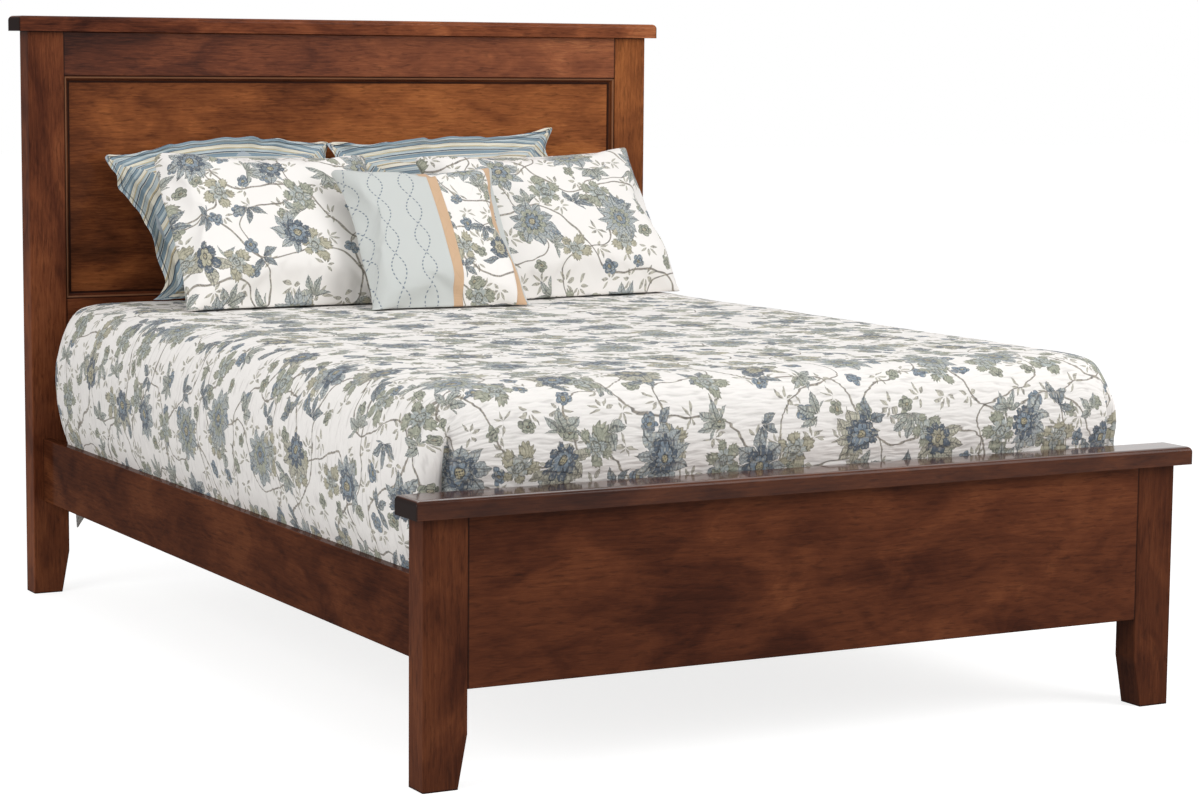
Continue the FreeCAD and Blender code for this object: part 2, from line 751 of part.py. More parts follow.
def cleat_screw_lines():
    """Y places of a cleat's screws: midway between the slats, and outside the first and the last slat."""
    between = [slat_line(number + 0.5) for number in range(SLAT_COUNT - 1)]
    return [slat_line(0) - size["slat_width"], *between, slat_line(SLAT_COUNT - 1) + size["slat_width"]]


def cleat_screws(side, gap=0):
    """The screws that hold a cleat to its rail, from the cleat's inner face outwards."""
    sign = SIDES[side]
    inner = sign * (rail_inner - size["cleat_width"])
    middle = cleat_bottom + size["cleat_height"] / 2
    return [
        screw(f"{side} cleat screw {number}", size["board_screw"], inner, line, middle, (sign, 0, 0), gap)
        for number, line in enumerate(cleat_screw_lines())
    ]


def make_side_rails():
    """The two side rails, their cleats, and the screws of both."""
    for side, sign in SIDES.items():
        across = (rail_inner, rail_outer) if side == "right" else (-rail_outer, -rail_inner)
        body = board(f"{side} rail board", across, (foot_face, head_face),
                     (size["rail_bottom"], rail_top), "Y")
        tools = cleat_screws(side, size["screw_gap"])
        for end, into in ENDS.items():
            face = face_of(end)
            tools.append(block(f"{end} {side} rail seat", across_rail(sign, size["plate_width"]),
                               (face - into * size["hook_plate_thick"], face), (plate_bottom, plate_top)))
            tools += hook_plate_screws(end, side, size["screw_gap"])
        node(cut(f"side_rail_{side}", body, tools), f"side_rail_{side}")
        cleat_across = (sign * rail_inner, sign * (rail_inner - size["cleat_width"]))
        cleat = block(f"{side} cleat blank", cleat_across, cleat_ends(), (cleat_bottom, cleat_top))
        holes = [*cleat_screws(side, size["screw_gap"]), *slat_screws(side, size["screw_gap"])]
        node(cut(f"cleat_{side}", cleat, holes), f"cleat_{side}")


# ---------------------------------------------------------------- slats, middle legs and glides


def slat_line(index):
    """Y place of the middle of a slat."""
    reach = size["mattress_length"] - 2 * size["slat_end"]
    return mattress_foot + size["slat_end"] + reach * (index / (SLAT_COUNT - 1))


def slat_screws(side, gap=0):
    """The screws that hold the slats down on one cleat."""
    x = SIDES[side] * (rail_inner - size["cleat_width"] / 2)
    return [
        screw(f"{side} slat screw {number}", size["board_screw"], x, slat_line(number), slat_top,
              (0, 0, -1), gap)
        for number in range(SLAT_COUNT)
    ]


def leg_screws(index, gap=0):
    """The two screws that hold a middle leg under its slat."""
    offset = size["leg_size"] / 4
    return [
        screw(f"leg {index} screw {sign}", size["board_screw"], sign * offset, slat_line(index), slat_top,
              (0, 0, -1), gap)
        for sign in SIDES.values()
    ]


def make_slats():
    """The slats, each screwed to both cleats, and the middle two to a leg."""
    reach = rail_inner - size["slat_play"]
    side_screws = {side: slat_screws(side, size["screw_gap"]) for side in SIDES}
    for index in range(SLAT_COUNT):
        middle, half = slat_line(index), size["slat_width"] / 2
        blank = block(f"slat {index} blank", (-reach, reach), (middle - half, middle + half),
                      (cleat_top, slat_top))
        tools = [screws[index] for screws in side_screws.values()]
        if index in LEGGED_SLATS:
            tools += leg_screws(index, size["screw_gap"])
        node(cut(f"slat_{index + 1}", blank, tools), f"slat_{index + 1}")


def make_middle_legs():
    """Middle legs with a tee nut and a screwed glide each."""
    half = size["leg_size"] / 2
    under = size["leg_lift"] - size["nut_flange_thick"]
    up = (0, 0, 1)
    for number, index in enumerate(LEGGED_SLATS, start=1):
        y = slat_line(index)
        foot = size["leg_lift"]
        blank = block(f"leg {number} blank", (-half, half), (y - half, y + half), (foot, cleat_top))
        bore_radius = size["stem_radius"] + size["bore_gap"]
        bore = rod(f"leg {number} bore", bore_radius, size["leg_bore"], 0, y, foot, up)
        socket = rod(f"leg {number} socket", size["nut_barrel"], size["nut_depth"], 0, y, foot, up)
        tools = [bore, socket, *leg_screws(index, size["screw_gap"])]
        node(cut(f"middle_leg_{number}", blank, tools), f"middle_leg_{number}")
        flange = rod(f"nut {number} flange", size["nut_flange"], size["nut_flange_thick"], 0, y, under, up)
        barrel = rod(f"nut {number} barrel", size["nut_barrel"], size["nut_depth"], 0, y, foot, up)
        hole = rod(f"nut {number} hole", size["stem_radius"] + size["stem_gap"],
                   size["nut_flange_thick"] + size["nut_depth"], 0, y, under, up)
        name = f"tee_nut_{number}"
        node(cut(name, fuse(f"{name} blank", [flange, barrel]), [hole]), name)
        disc = rod(f"glide {number} foot", size["glide_radius"], size["glide_height"], 0, y, 0, up)
        stem = rod(f"glide {number} stem", size["stem_radius"], size["stem_length"], 0, y,
                   size["glide_height"], up)
        node(fuse(f"glide_{number}", [disc, stem]), f"glide_{number}")


def make_screws():
    """The screws, one node for each kind."""
    groups = {
        "hook_plate_screws": [s for end in ENDS for side in SIDES for s in hook_plate_screws(end, side)],
        "slot_plate_screws": [s for end in ENDS for side in SIDES for s in slot_plate_screws(end, side)],
        "cleat_screws": [s for side in SIDES for s in cleat_screws(side)],
        "slat_screws": [s for side in SIDES for s in slat_screws(side)],
        "leg_screws": [s for index in LEGGED_SLATS for s in leg_screws(index)],
    }
    for name, screws in groups.items():
        node(together(name, screws), name)


# ---------------------------------------------------------------- box spring, mattress and bedding


def make_mattress_set():
    """The box spring and the mattress: blocks with rounded corners and softened edges."""
    for name, width, length, low, high, corner, upper, lower in (
        ("box_spring", size["mattress_width"] - 2 * size["spring_side"],
         size["mattress_length"] - 2 * size["spring_inset"], slat_top, mattress_bottom,
         size["spring_corner"], size["spring_edge"], size["spring_edge"]),
        ("mattress", size["mattress_width"], size["mattress_length"], mattress_bottom, mattress_top,
         size["mattress_corner"], size["mattress_shoulder"], size["mattress_edge"]),
    ):
        along = (mattress_middle - length / 2, mattress_middle + length / 2)
        outline = rectangle((-width / 2, width / 2), along)
        body = padded(name, "XY_Plane", outline, high - low)
        put(body, z=low)
        halfway = (high - low).value / 2
        ease(body, corner, upright)
        ease(body, upper, lambda edge: edge.BoundBox.ZMin > halfway)
        ease(body, lower, lambda edge: edge.BoundBox.ZMax < halfway)
        node(body, name)


def rounded_wire(half_width, front, back, front_corner, back_corner, z):
    """A level rectangle with round corners, as a wire of four lines and four quarter arcs."""
    quarters = (
        (half_width - back_corner, back - back_corner, back_corner, 0),
        (back_corner - half_width, back - back_corner, back_corner, 90),
        (front_corner - half_width, front + front_corner, front_corner, 180),
        (half_width - front_corner, front + front_corner, front_corner, 270),
    )
    arcs = []
    for x, y, radius, start in quarters:
        angles = [math.radians(start + turn) for turn in (0, 45, 90)]
        arcs.append([Vector(x + radius * math.cos(a), y + radius * math.sin(a), z) for a in angles])
    edges = []
    for arc, following in zip(arcs, arcs[1:] + arcs[:1]):
        edges.append(Part.Arc(*arc).toShape())
        edges.append(Part.LineSegment(arc[2], following[0]).toShape())
    return Part.Wire(edges)


def coverlet_outside():
    """The coverlet's outer form: straight between the rails, swollen above them, and rounded over at the top.

    The shoulder is a quarter of an ellipse round the same line as the mattress's own shoulder, so that the
    coverlet keeps its thickness there.
    """
    swell, out = size["cover_swell"].value, tucked.value
    front, back = (mattress_foot - cover_reach).value, (mattress_head + cover_reach).value
    foot_corner = size["mattress_corner"].value + size["cover_foot_corner"].value
    head_corner = size["mattress_corner"].value + size["cover_head_corner"].value
    shoulder = size["mattress_shoulder"].value
    wall_low, wall_high = rail_top.value, mattress_top.value - shoulder
    sections = [
        rounded_wire(out + swell * share, front, back, foot_corner, head_corner,
                     wall_low + (wall_high - wall_low) * rise)
        for share, rise in SWELL_SECTIONS
    ]
    line_x = size["mattress_width"].value / 2 - shoulder
    line_front, line_back = mattress_foot.value + shoulder, mattress_head.value - shoulder
    out_x = out + swell * SWELL_SECTIONS[-1][0] - line_x
    out_y = shoulder + cover_reach.value
    for turn in SHOULDER_TURNS:
        level, rise = math.cos(math.radians(turn)), math.sin(math.radians(turn))
        sections.append(rounded_wire(
            line_x + out_x * level, line_front - out_y * level, line_back + out_y * level,
            foot_corner - out_y * (1 - level), head_corner - out_y * (1 - level),
            wall_high + (cover_top.value - wall_high) * rise))
    swollen = Part.makeLoft(sections, True, False)
    hem = slat_top.value + size["cover_hem_gap"].value
    straight = [rounded_wire(out, front, back, foot_corner, head_corner, z) for z in (hem, wall_low)]
    return swollen.fuse(Part.makeLoft(straight, True, True))


def coverlet_room():
    """The space inside the coverlet: the mattress's form with a gap round it, open below."""
    gap = size["cover_gap"].value
    corner = size["mattress_corner"].value + gap
    low = slat_top.value + size["cover_hem_gap"].value - size["cover_thick"].value
    high = mattress_top.value + gap
    out = size["mattress_width"].value / 2 + gap
    walls = [
        rounded_wire(out, mattress_foot.value - gap, mattress_head.value + gap, corner, corner, z)
        for z in (low, high)
    ]
    room = Part.makeLoft(walls, True, True)
    upper = [edge for edge in room.Edges if edge.BoundBox.ZMin > (low + high) / 2]
    return room.makeFillet(size["mattress_shoulder"].value + gap, upper)


def coverlet_tip(side):
    """One of the coverlet's head corners, which hangs as a triangle between mattress and headboard."""
    outer = size["mattress_width"].value / 2 - size["mattress_corner"].value * TIP_SETBACK
    hem = slat_top.value + size["cover_hem_gap"].value
    back = (mattress_head + cover_reach).value
    sign = SIDES[side]
    inner = outer - size["cover_tip_width"].value
    top = hem + size["cover_thick"].value
    corners = [(outer, hem - size["cover_tip_drop"].value), (outer, top), (inner, top)]
    points = [Vector(sign * x, back, z) for x, z in corners]
    face = Part.Face(Part.makePolygon([*points, points[0]]))
    return face.extrude(Vector(0, -size["cover_thick"].value, 0))


def make_coverlet():
    """The quilted coverlet: one shell over mattress and box spring, with two hanging corners at its head."""
    shell = coverlet_outside().cut(coverlet_room())
    shell = shell.fuse([coverlet_tip(side) for side in SIDES])
    coverlet = doc.addObject("Part::Feature", "coverlet")
    coverlet.Shape = shell.Solids[0] if len(shell.Solids) == 1 else shell
    node(coverlet, "coverlet")


def cushion_wire(half_width, half_height, bow, corner, level):
    """One section of a pillow: four sides that bow inwards by bow, or outwards where it is negative."""
    spots = [Vector(x * half_width, y * half_height, level) for x, y in ((1, 1), (-1, 1), (-1, -1), (1, -1))]
    corners = []
    for index, point in enumerate(spots):
        first = point + (spots[index - 1] - point).normalize() * corner
        last = point + (spots[(index + 1) % 4] - point).normalize() * corner
        halfway = (first + last) * 0.5
        corners.append((first, halfway + (point - halfway) * CORNER_FULLNESS, last))
    edges = []
    for index, (first, middle, last) in enumerate(corners):
        following = corners[(index + 1) % 4][0]
        halfway = (last + following) * 0.5
        inward = (Vector(0, 0, level) - halfway).normalize()
        edges.append(Part.Arc(first, middle, last).toShape())
        edges.append(Part.Arc(last, halfway + inward * bow, following).toShape())
    return Part.Wire(edges)


def cushion(width, height, thick):
    """A stuffed pillow in the XY plane: a crown on both faces, a seam all round, and drawn-in sides."""
    draw, corner = size["pillow_draw"].value, size["pillow_corner"].value
    halves = []
    for face in (1, -1):
        sections = []
        for share, bow in CUSHION_SECTIONS:
            level = face * thick / 2 * (1 - share ** CROWN_POWER) ** (1 / CROWN_POWER)
            sections.append(
                cushion_wire(width / 2 * share, height / 2 * share, draw * bow, corner * share, level))
        halves.append(Part.makeLoft(sections, True, False))
    return halves[0].fuse(halves[1])


def leaning(width, height, thick, lean, turn, roll):
    """A pillow that stands on its lower side: rolled in its own plane, leant back, and turned on the bed."""
    shape = cushion(width, height, thick)
    for axis, angle in ((Vector(0, 0, 1), roll), (Vector(1, 0, 0), 90 - lean), (Vector(0, 0, 1), turn)):
        shape.rotate(Vector(), axis, angle)
    return shape


def push_back(shape, behind):
    """Moves a pillow towards the headboard until it is a seat's gap in front of what is behind it."""
    for _ in range(PUSHES):
        room = min(shape.distToShape(other)[0] for other in behind) - size["pillow_seat"].value
        shape.translate(Vector(0, room, 0))
        if room < PUSH_ENOUGH:
            return


def headboard_front():
    """Plain boxes with the front faces of cap, rails, moulding and panel, for the pillows to lean on."""
    width, depth = 2 * half_span.value, size["post_depth"].value
    mould = size["mould_width"]
    layers = (
        (head_face - size["head_cap_front"], head_under_cap, size["head_height"]),
        (frame_front, top_rail_bottom, head_under_cap),
        (panel_front - size["mould_height"], top_rail_bottom - mould, top_rail_bottom),
        (panel_front, low_rail_top, top_rail_bottom),
        (panel_front - size["mould_height"], low_rail_top, low_rail_top + mould),
        (frame_front, size["low_rail_bottom"], low_rail_top),
    )
    boxes = [
        Part.makeBox(width, depth, (high - low).value, Vector(-half_span.value, front.value, low.value))
        for front, low, high in layers
    ]
    return Part.makeCompound(boxes)


def make_pillows():
    """Two striped shams lean on the headboard, two floral shams on them, and an accent pillow in front."""
    seat = cover_top.value + size["pillow_seat"].value
    done = {"headboard": headboard_front()}
    for name, kind, side, middle, turn, roll, behind in PILLOWS:
        width, height, thick, lean = (
            size[f"{kind}_{measured}"].value for measured in ("width", "height", "thick", "lean"))
        shape = leaning(width, height, thick, lean, turn, roll)
        box = shape.optimalBoundingBox()
        aside = side * (width / 2 + size[f"{kind}_spread"].value) if side else 0
        start = head_face.value - PILLOW_ROW * (1 + len(done)) - box.YMax
        shape.translate(Vector(middle + aside, start, seat - box.ZMin))
        push_back(shape, [done[other] for other in behind])
        done[name] = shape
        pillow = doc.addObject("Part::Feature", name)
        pillow.Shape = shape
        node(pillow, name)


def check_and_write():
    """Stops if any object failed; then writes one STEP file for each node."""
    doc.recompute()
    failed = [thing.Label for thing in doc.Objects if {"Invalid", "Error"} & set(thing.State)]
    if failed:
        raise RuntimeError(f"these objects failed: {failed}")
    os.makedirs("parts", exist_ok=True)
    for thing in nodes:
        shape = thing.Shape
        if shape.isNull() or not shape.isValid() or not shape.Solids:
            raise RuntimeError(f"{thing.Label} has no valid solid")
        shape.exportStep(os.path.join("parts", thing.Label + ".step"))
    print(f"{len(nodes)} nodes, {sum(len(thing.Shape.Solids) for thing in nodes)} solids")


make_posts()
make_caps()
make_headboard_rail("headboard_top_rail", top_rail_bottom, head_under_cap, "under")
make_headboard_rail("headboard_low_rail", size["low_rail_bottom"], low_rail_top, "over")
make_headboard_panel()
make_mouldings()
make_footboard_panel()
make_side_rails()
make_slot_plates()
make_hook_plates()
make_slats()
make_middle_legs()
make_screws()
make_mattress_set()
make_coverlet()
make_pillows()
check_and_write()
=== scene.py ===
"""Looks of a queen-size panel bed: stained cherry, a quilted and printed coverlet, and five pillows."""

import logging
import math
from collections.abc import Sequence
from dataclasses import dataclass, field
from enum import Enum
from functools import reduce
from typing import ClassVar

import bmesh
import bpy
from mathutils import Matrix, Vector, noise
from mathutils.bvhtree import BVHTree


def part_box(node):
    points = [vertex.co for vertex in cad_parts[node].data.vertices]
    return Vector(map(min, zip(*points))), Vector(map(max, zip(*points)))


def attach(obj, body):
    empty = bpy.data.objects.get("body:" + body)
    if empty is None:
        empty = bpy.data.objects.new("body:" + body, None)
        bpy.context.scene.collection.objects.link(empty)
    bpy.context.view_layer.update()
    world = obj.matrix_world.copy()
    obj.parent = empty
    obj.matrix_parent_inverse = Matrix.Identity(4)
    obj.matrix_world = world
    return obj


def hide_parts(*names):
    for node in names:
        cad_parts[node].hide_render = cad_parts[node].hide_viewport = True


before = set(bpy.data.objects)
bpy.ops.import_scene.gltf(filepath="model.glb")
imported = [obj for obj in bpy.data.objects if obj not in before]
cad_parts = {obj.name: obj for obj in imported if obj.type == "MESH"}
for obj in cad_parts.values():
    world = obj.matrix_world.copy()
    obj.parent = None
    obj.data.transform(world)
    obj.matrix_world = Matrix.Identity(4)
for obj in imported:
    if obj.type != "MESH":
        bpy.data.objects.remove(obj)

log = logging.getLogger("bed")

# A line is a row of (place, height) points. Fed values go into a node's sockets, by name or number.
Rgb = tuple[float, float, float]
Line = tuple[tuple[float, float], ...]
Number = "Signal | float"
Colour = "Signal | Rgb"
Fed = dict[str | int, object]
Mesh = bmesh.types.BMesh
TURN = 2 * math.pi
MM = 0.001


# ---------------------------------------------------------------- node trees


class Signal:
    """A value in a node tree. Arithmetic between signals and numbers makes Math nodes."""

    def __init__(self, graph: "Graph", socket: bpy.types.NodeSocket) -> None:
        """Keeps the socket that gives the value, and the graph that it belongs to."""
        self.graph = graph
        self.socket = socket

    def __add__(self, other: Number) -> "Signal":
        """The sum."""
        return self.graph.math("ADD", self, other)

    def __sub__(self, other: Number) -> "Signal":
        """The difference."""
        return self.graph.math("SUBTRACT", self, other)

    def __rsub__(self, other: float) -> "Signal":
        """A number less the signal."""
        return self.graph.math("SUBTRACT", other, self)

    def __mul__(self, other: Number) -> "Signal":
        """The product."""
        return self.graph.math("MULTIPLY", self, other)

    def __truediv__(self, other: Number) -> "Signal":
        """The quotient."""
        return self.graph.math("DIVIDE", self, other)

    def __rtruediv__(self, other: float) -> "Signal":
        """A number divided by the signal."""
        return self.graph.math("DIVIDE", other, self)

    def __pow__(self, other: Number) -> "Signal":
        """The power."""
        return self.graph.math("POWER", self, other)

    def __abs__(self) -> "Signal":
        """The signal without its sign."""
        return self.graph.math("ABSOLUTE", self)

    __radd__ = __add__


class Graph:
    """Makes nodes in one node tree and links them."""

    COLUMN = 180
    ROWS = 12

    def __init__(self, tree: bpy.types.NodeTree) -> None:
        """Starts with no node of its own."""
        self.tree = tree
        self.made = 0

    def node(self, kind: str, inputs: Fed | None = None, **settings: object) -> bpy.types.Node:
        """Adds a node.

        Args:
            kind: the node's type name.
            inputs: values and signals for its sockets, by name or number.
            settings: properties to set on it.

        Returns:
            The new node, placed in the next free spot of the editor.
        """
        made = self.tree.nodes.new(kind)
        for name, value in settings.items():
            setattr(made, name, value)
        for name, value in (inputs or {}).items():
            self.feed(made.inputs[name], value)
        made.location = (self.COLUMN * (self.made // self.ROWS), -self.COLUMN * (self.made % self.ROWS))
        self.made += 1
        return made

    def feed(self, socket: bpy.types.NodeSocket, value: object) -> None:
        """Fills one socket.

        Args:
            socket: the socket.
            value: a signal to link into it, or a plain value to set it to.
        """
        if isinstance(value, Signal):
            self.tree.links.new(value.socket, socket)
        else:
            socket.default_value = value

    def read(self, output: str | int, kind: str, inputs: Fed | None = None, **settings: object) -> Signal:
        """Adds a node as node() does, and gives one of its outputs."""
        return Signal(self, self.node(kind, inputs, **settings).outputs[output])

    def math(self, operation: str, *values: Number) -> Signal:
        """The result of a Math node."""
        return self.read(0, "ShaderNodeMath", dict(enumerate(values)), operation=operation)

    def most(self, *values: Number) -> Signal:
        """The greatest of several numbers."""
        return reduce(lambda first, second: self.math("MAXIMUM", first, second), values)

    def vector(self, operation: str, *values: "Signal | Sequence[float] | float") -> Signal:
        """The result of a Vector Math node: a number for LENGTH, otherwise a vector."""
        inputs = dict(zip((0, "Scale" if operation == "SCALE" else 1), values))
        return self.read(int(operation == "LENGTH"), "ShaderNodeVectorMath", inputs, operation=operation)

    def split(self, vector: Signal) -> tuple[Signal, Signal, Signal]:
        """The X, Y and Z of a vector."""
        outputs = self.node("ShaderNodeSeparateXYZ", {0: vector}).outputs
        return tuple(Signal(self, socket) for socket in outputs)

    def join(self, x: Number, y: Number, z: Number = 0.0) -> Signal:
        """A vector from its X, Y and Z."""
        return self.read(0, "ShaderNodeCombineXYZ", {0: x, 1: y, 2: z})

    def spin(self, vector: Signal, angle: Number) -> Signal:
        """A vector turned about Z."""
        inputs = {"Vector": vector, "Angle": angle}
        return self.read(0, "ShaderNodeVectorRotate", inputs, rotation_type="Z_AXIS")

    def turned(self, vector: Signal, rotation: Rgb, location: Rgb = (0.0, 0.0, 0.0)) -> Signal:
        """A vector turned about all three axes, then moved."""
        inputs = {"Vector": vector, "Rotation": rotation, "Location": location}
        return self.read(0, "ShaderNodeMapping", inputs)

    def rise(self, value: Number, low: Number, high: Number) -> Signal:
        """A number that goes from 0 at low to 1 at high and stays level outside; high may lie below low."""
        inputs = {"Value": value, "From Min": low, "From Max": high}
        return self.read("Result", "ShaderNodeMapRange", inputs, clamp=True)

    def noise(self, vector: Signal, scale: float, detail: float = 2.0, roughness: float = 0.5,
              distortion: float = 0.0) -> Signal:
        """Noise from 0 to 1, with its waves a metre, its octaves, their roughness and how much it swirls."""
        return self.read(0, "ShaderNodeTexNoise", {"Vector": vector, "Scale": scale, "Detail": detail,
                                                   "Roughness": roughness, "Distortion": distortion})

    def swirl(self, vector: Signal, scale: float, amount: float) -> Signal:
        """Pushes a vector about by coloured noise.

        Args:
            vector: the vector.
            scale: the noise's waves a metre.
            amount: twice the most that it moves each way.

        Returns:
            The moved vector.
        """
        push = self.read("Color", "ShaderNodeTexNoise", {"Vector": vector, "Scale": scale, "Detail": 1.0})
        centred = self.vector("SUBTRACT", push, (0.5, 0.5, 0.5))
        return self.vector("ADD", vector, self.vector("SCALE", centred, amount))

    def blend(self, share: Number, first: Colour, second: Colour) -> Signal:
        """A colour between two others: the first at share 0, the second at share 1."""
        colours = [value if isinstance(value, Signal) else (*value, 1.0) for value in (first, second)]
        return self.read(2, "ShaderNodeMix", {0: share, 6: colours[0], 7: colours[1]}, data_type="RGBA")

    def ramp(self, share: Signal, stops: Sequence[tuple[float, Rgb]], stepped: bool = False) -> Signal:
        """A colour ramp.

        Args:
            share: where on the ramp, from 0 to 1.
            stops: places and colours, in order.
            stepped: whether each colour holds until the next stop.

        Returns:
            The colour.
        """
        made = self.node("ShaderNodeValToRGB", {0: share})
        band = made.color_ramp
        band.interpolation = "CONSTANT" if stepped else "LINEAR"
        while len(band.elements) < len(stops):
            band.elements.new(1.0)
        for element, (place, colour) in zip(band.elements, stops):
            element.position = place
            element.color = (*colour, 1.0)
        return Signal(self, made.outputs[0])

    def bump(self, height: Signal, distance: float, strength: float = 1.0) -> Signal:
        """A normal from a height from 0 to 1 that stands for a distance in metres."""
        inputs = {"Height": height, "Distance": distance, "Strength": strength}
        return self.read("Normal", "ShaderNodeBump", inputs)

    def use(self, group: "Effect", **inputs: object) -> dict[str, Signal]:
        """Places a node group with values and signals for its sockets, and gives its outputs by name."""
        made = self.node("ShaderNodeGroup", inputs, node_tree=group.tree)
        return {socket.name: Signal(self, socket) for socket in made.outputs}


class Effect:
    """A shader node group with named sockets, built once and placed in many materials."""

    def __init__(self, name: str, inputs: dict[str, float | None], **outputs: str) -> None:
        """Opens an empty group.

        Args:
            name: the group's name.
            inputs: each input's name with its plain value, or None for a vector.
            outputs: each output's name with its kind: Float, Color or Vector.
        """
        self.tree = bpy.data.node_groups.new(name, "ShaderNodeTree")
        self.graph = Graph(self.tree)
        for title, value in inputs.items():
            kind = "NodeSocketVector" if value is None else "NodeSocketFloat"
            socket = self.tree.interface.new_socket(title, in_out="INPUT", socket_type=kind)
            if value is not None:
                socket.default_value = value
        for title, kind in outputs.items():
            self.tree.interface.new_socket(title, in_out="OUTPUT", socket_type="NodeSocket" + kind)
        entry = self.graph.node("NodeGroupInput")
        self.inputs = [Signal(self.graph, entry.outputs[title]) for title in inputs]
        self.exit = self.graph.node("NodeGroupOutput")

    def give(self, **results: Signal) -> "Effect":
        """Links results to the group's outputs by name.

        Args:
            results: the signals.

        Returns:
            The finished effect.
        """
        for title, signal in results.items():
            self.graph.feed(self.exit.inputs[title], signal)
        return self


# ---------------------------------------------------------------- effects that several finishes share


def make_wood_grain() -> Effect:
    """Flat-sawn grain along X: growth rings, fibres, cloudy blotches, short dark dashes and knots.

    Returns:
        The effect.
    """
    made = Effect("wood_grain", {"Vector": None, "Rings": 70.0, "Knots": 1.0}, Rings="Float", Fibre="Float",
                  Blotch="Float", Dash="Float", Knot="Float")
    graph = made.graph
    spot, rings_a_metre, knots = made.inputs
    along, across, depth = graph.split(spot)

    def scaled(run: float, side: float) -> Signal:
        """The place in the board, scaled along the grain and across it."""
        return graph.join(along * run, across * side, depth * side)

    swirled = graph.swirl(scaled(0.7, 1.0), 30.0, 0.014)
    cells = graph.node("ShaderNodeTexVoronoi", {"Vector": swirled, "Scale": 4.6})
    near = Signal(graph, cells.outputs["Distance"])
    chance, size, _ = graph.split(Signal(graph, cells.outputs["Color"]))
    present = graph.math("GREATER_THAN", chance, 0.62) * knots
    knot = graph.rise(near, size * 0.05 + 0.055, 0.015) * present
    pull = graph.rise(near, 0.42, 0.0) ** 2.0 * present

    wander = graph.noise(scaled(0.8, 3.0), 1.6)
    ripple = graph.noise(scaled(5.0, 26.0), 1.0)
    from_pith = graph.vector("LENGTH", graph.join(0.0, across + 0.07 + wander * 0.12, depth + 0.16))
    ring = graph.math("FRACT", (from_pith + ripple * 0.005 + pull * 0.05) * rings_a_metre)
    cloud = graph.noise(graph.swirl(scaled(3.6, 8.0), 1.3, 1.8), 1.0, 4.0, 0.55)
    fine_cloud = graph.noise(graph.swirl(scaled(11.0, 46.0), 1.1, 2.2), 1.0, 3.0, 0.6)
    return made.give(Rings=graph.rise(ring, 0.0, 0.8) * graph.rise(ring, 1.0, 0.86),
                     Fibre=graph.noise(scaled(30.0, 620.0), 1.0, 3.0, 0.7),
                     Blotch=cloud * 0.84 + fine_cloud * 0.16 + pull * -0.2,
                     Dash=graph.rise(graph.noise(scaled(24.0, 150.0), 1.0, 3.0, 0.6, 0.6), 0.52, 0.74),
                     Knot=knot)


def make_weave() -> Effect:
    """Plain weave: height from 0 to 1 of threads that cross over and under each other.

    Returns:
        The effect.
    """
    made = Effect("weave", {"Vector": None, "Threads": 1500.0}, Height="Float")
    graph = made.graph
    place, threads = made.inputs
    x, y, _ = graph.split(graph.vector("SCALE", place, threads))
    crossing = graph.math("SINE", x * math.pi) * graph.math("SINE", y * math.pi)
    return made.give(Height=abs(crossing) * 0.7 + graph.noise(place, 260.0) * 0.3)


def make_scatter() -> Effect:
    """Spreads motifs over a plane: one in each cell, moved and turned at random.

    Local is the place from the motif's middle, in motif radii. Chance and Tint are random numbers of the
    cell.

    Returns:
        The effect.
    """
    made = Effect("scatter", {"Vector": None, "Pitch": 0.2, "Radius": 0.05, "Spread": 0.4}, Local="Vector",
                  Chance="Float", Tint="Float")
    graph = made.graph
    place, pitch, radius, spread = made.inputs
    cells = graph.node("ShaderNodeTexVoronoi", {"Vector": place, "Scale": 1.0 / pitch, "Randomness": spread},
                       voronoi_dimensions="2D")
    away = graph.vector("SUBTRACT", place, Signal(graph, cells.outputs["Position"]))
    turning, chance, tint = graph.split(Signal(graph, cells.outputs["Color"]))
    local = graph.spin(graph.vector("SCALE", away, 1.0 / radius), turning * TURN)
    return made.give(Local=local, Chance=chance, Tint=tint)


def make_blades() -> Effect:
    """A fan of pointed leaves or petals round a middle, each with a midrib, side veins and an outline.

    Returns:
        The effect.
    """
    sockets = {"Vector": None, "Count": 5.0, "Open": 4.0, "Full": 0.4, "Teeth": 0.0, "Root": 0.1}
    made = Effect("blades", sockets, Fill="Float", Ink="Float", Along="Float")
    graph = made.graph
    place, count, opened, full, teeth, root = made.inputs
    x, y, _ = graph.split(place)
    angle = graph.math("ARCTAN2", y, x)
    sector = TURN / count
    folded = graph.math("WRAP", angle, sector * 0.5, sector * -0.5)
    radius = graph.vector("LENGTH", place)
    half = (1.0 - root) * 0.5
    along = (radius * graph.math("COSINE", folded) - root) / half - 1.0
    bend = (1.0 - along * along) * 0.1
    aside = abs(radius * graph.math("SINE", folded) / half - bend)
    saw = graph.math("PINGPONG", along * 7.0, 1.0) - 0.5
    wide = (1.0 - along * along) * (1.0 - along * 0.3) * full + saw * teeth
    inside = (wide - aside) * graph.rise(abs(angle), opened, opened - 0.02)
    fill = graph.rise(inside, 0.0, 0.05) * graph.rise(abs(along), 1.0, 0.98)
    outline = graph.rise(abs(inside), 0.11, 0.05)
    midrib = graph.rise(aside, 0.07, 0.03)
    side_veins = graph.rise(graph.math("PINGPONG", along * 4.0 - aside * 2.2, 0.5), 0.13, 0.05) * 0.8
    hatching = graph.rise(graph.math("PINGPONG", along * 1.5 + aside * 13.0, 0.5), 0.3, 0.15) * 0.45
    return made.give(Fill=fill, Ink=graph.most(outline, midrib, side_veins, hatching) * fill,
                     Along=graph.rise(radius, 0.0, 1.0))


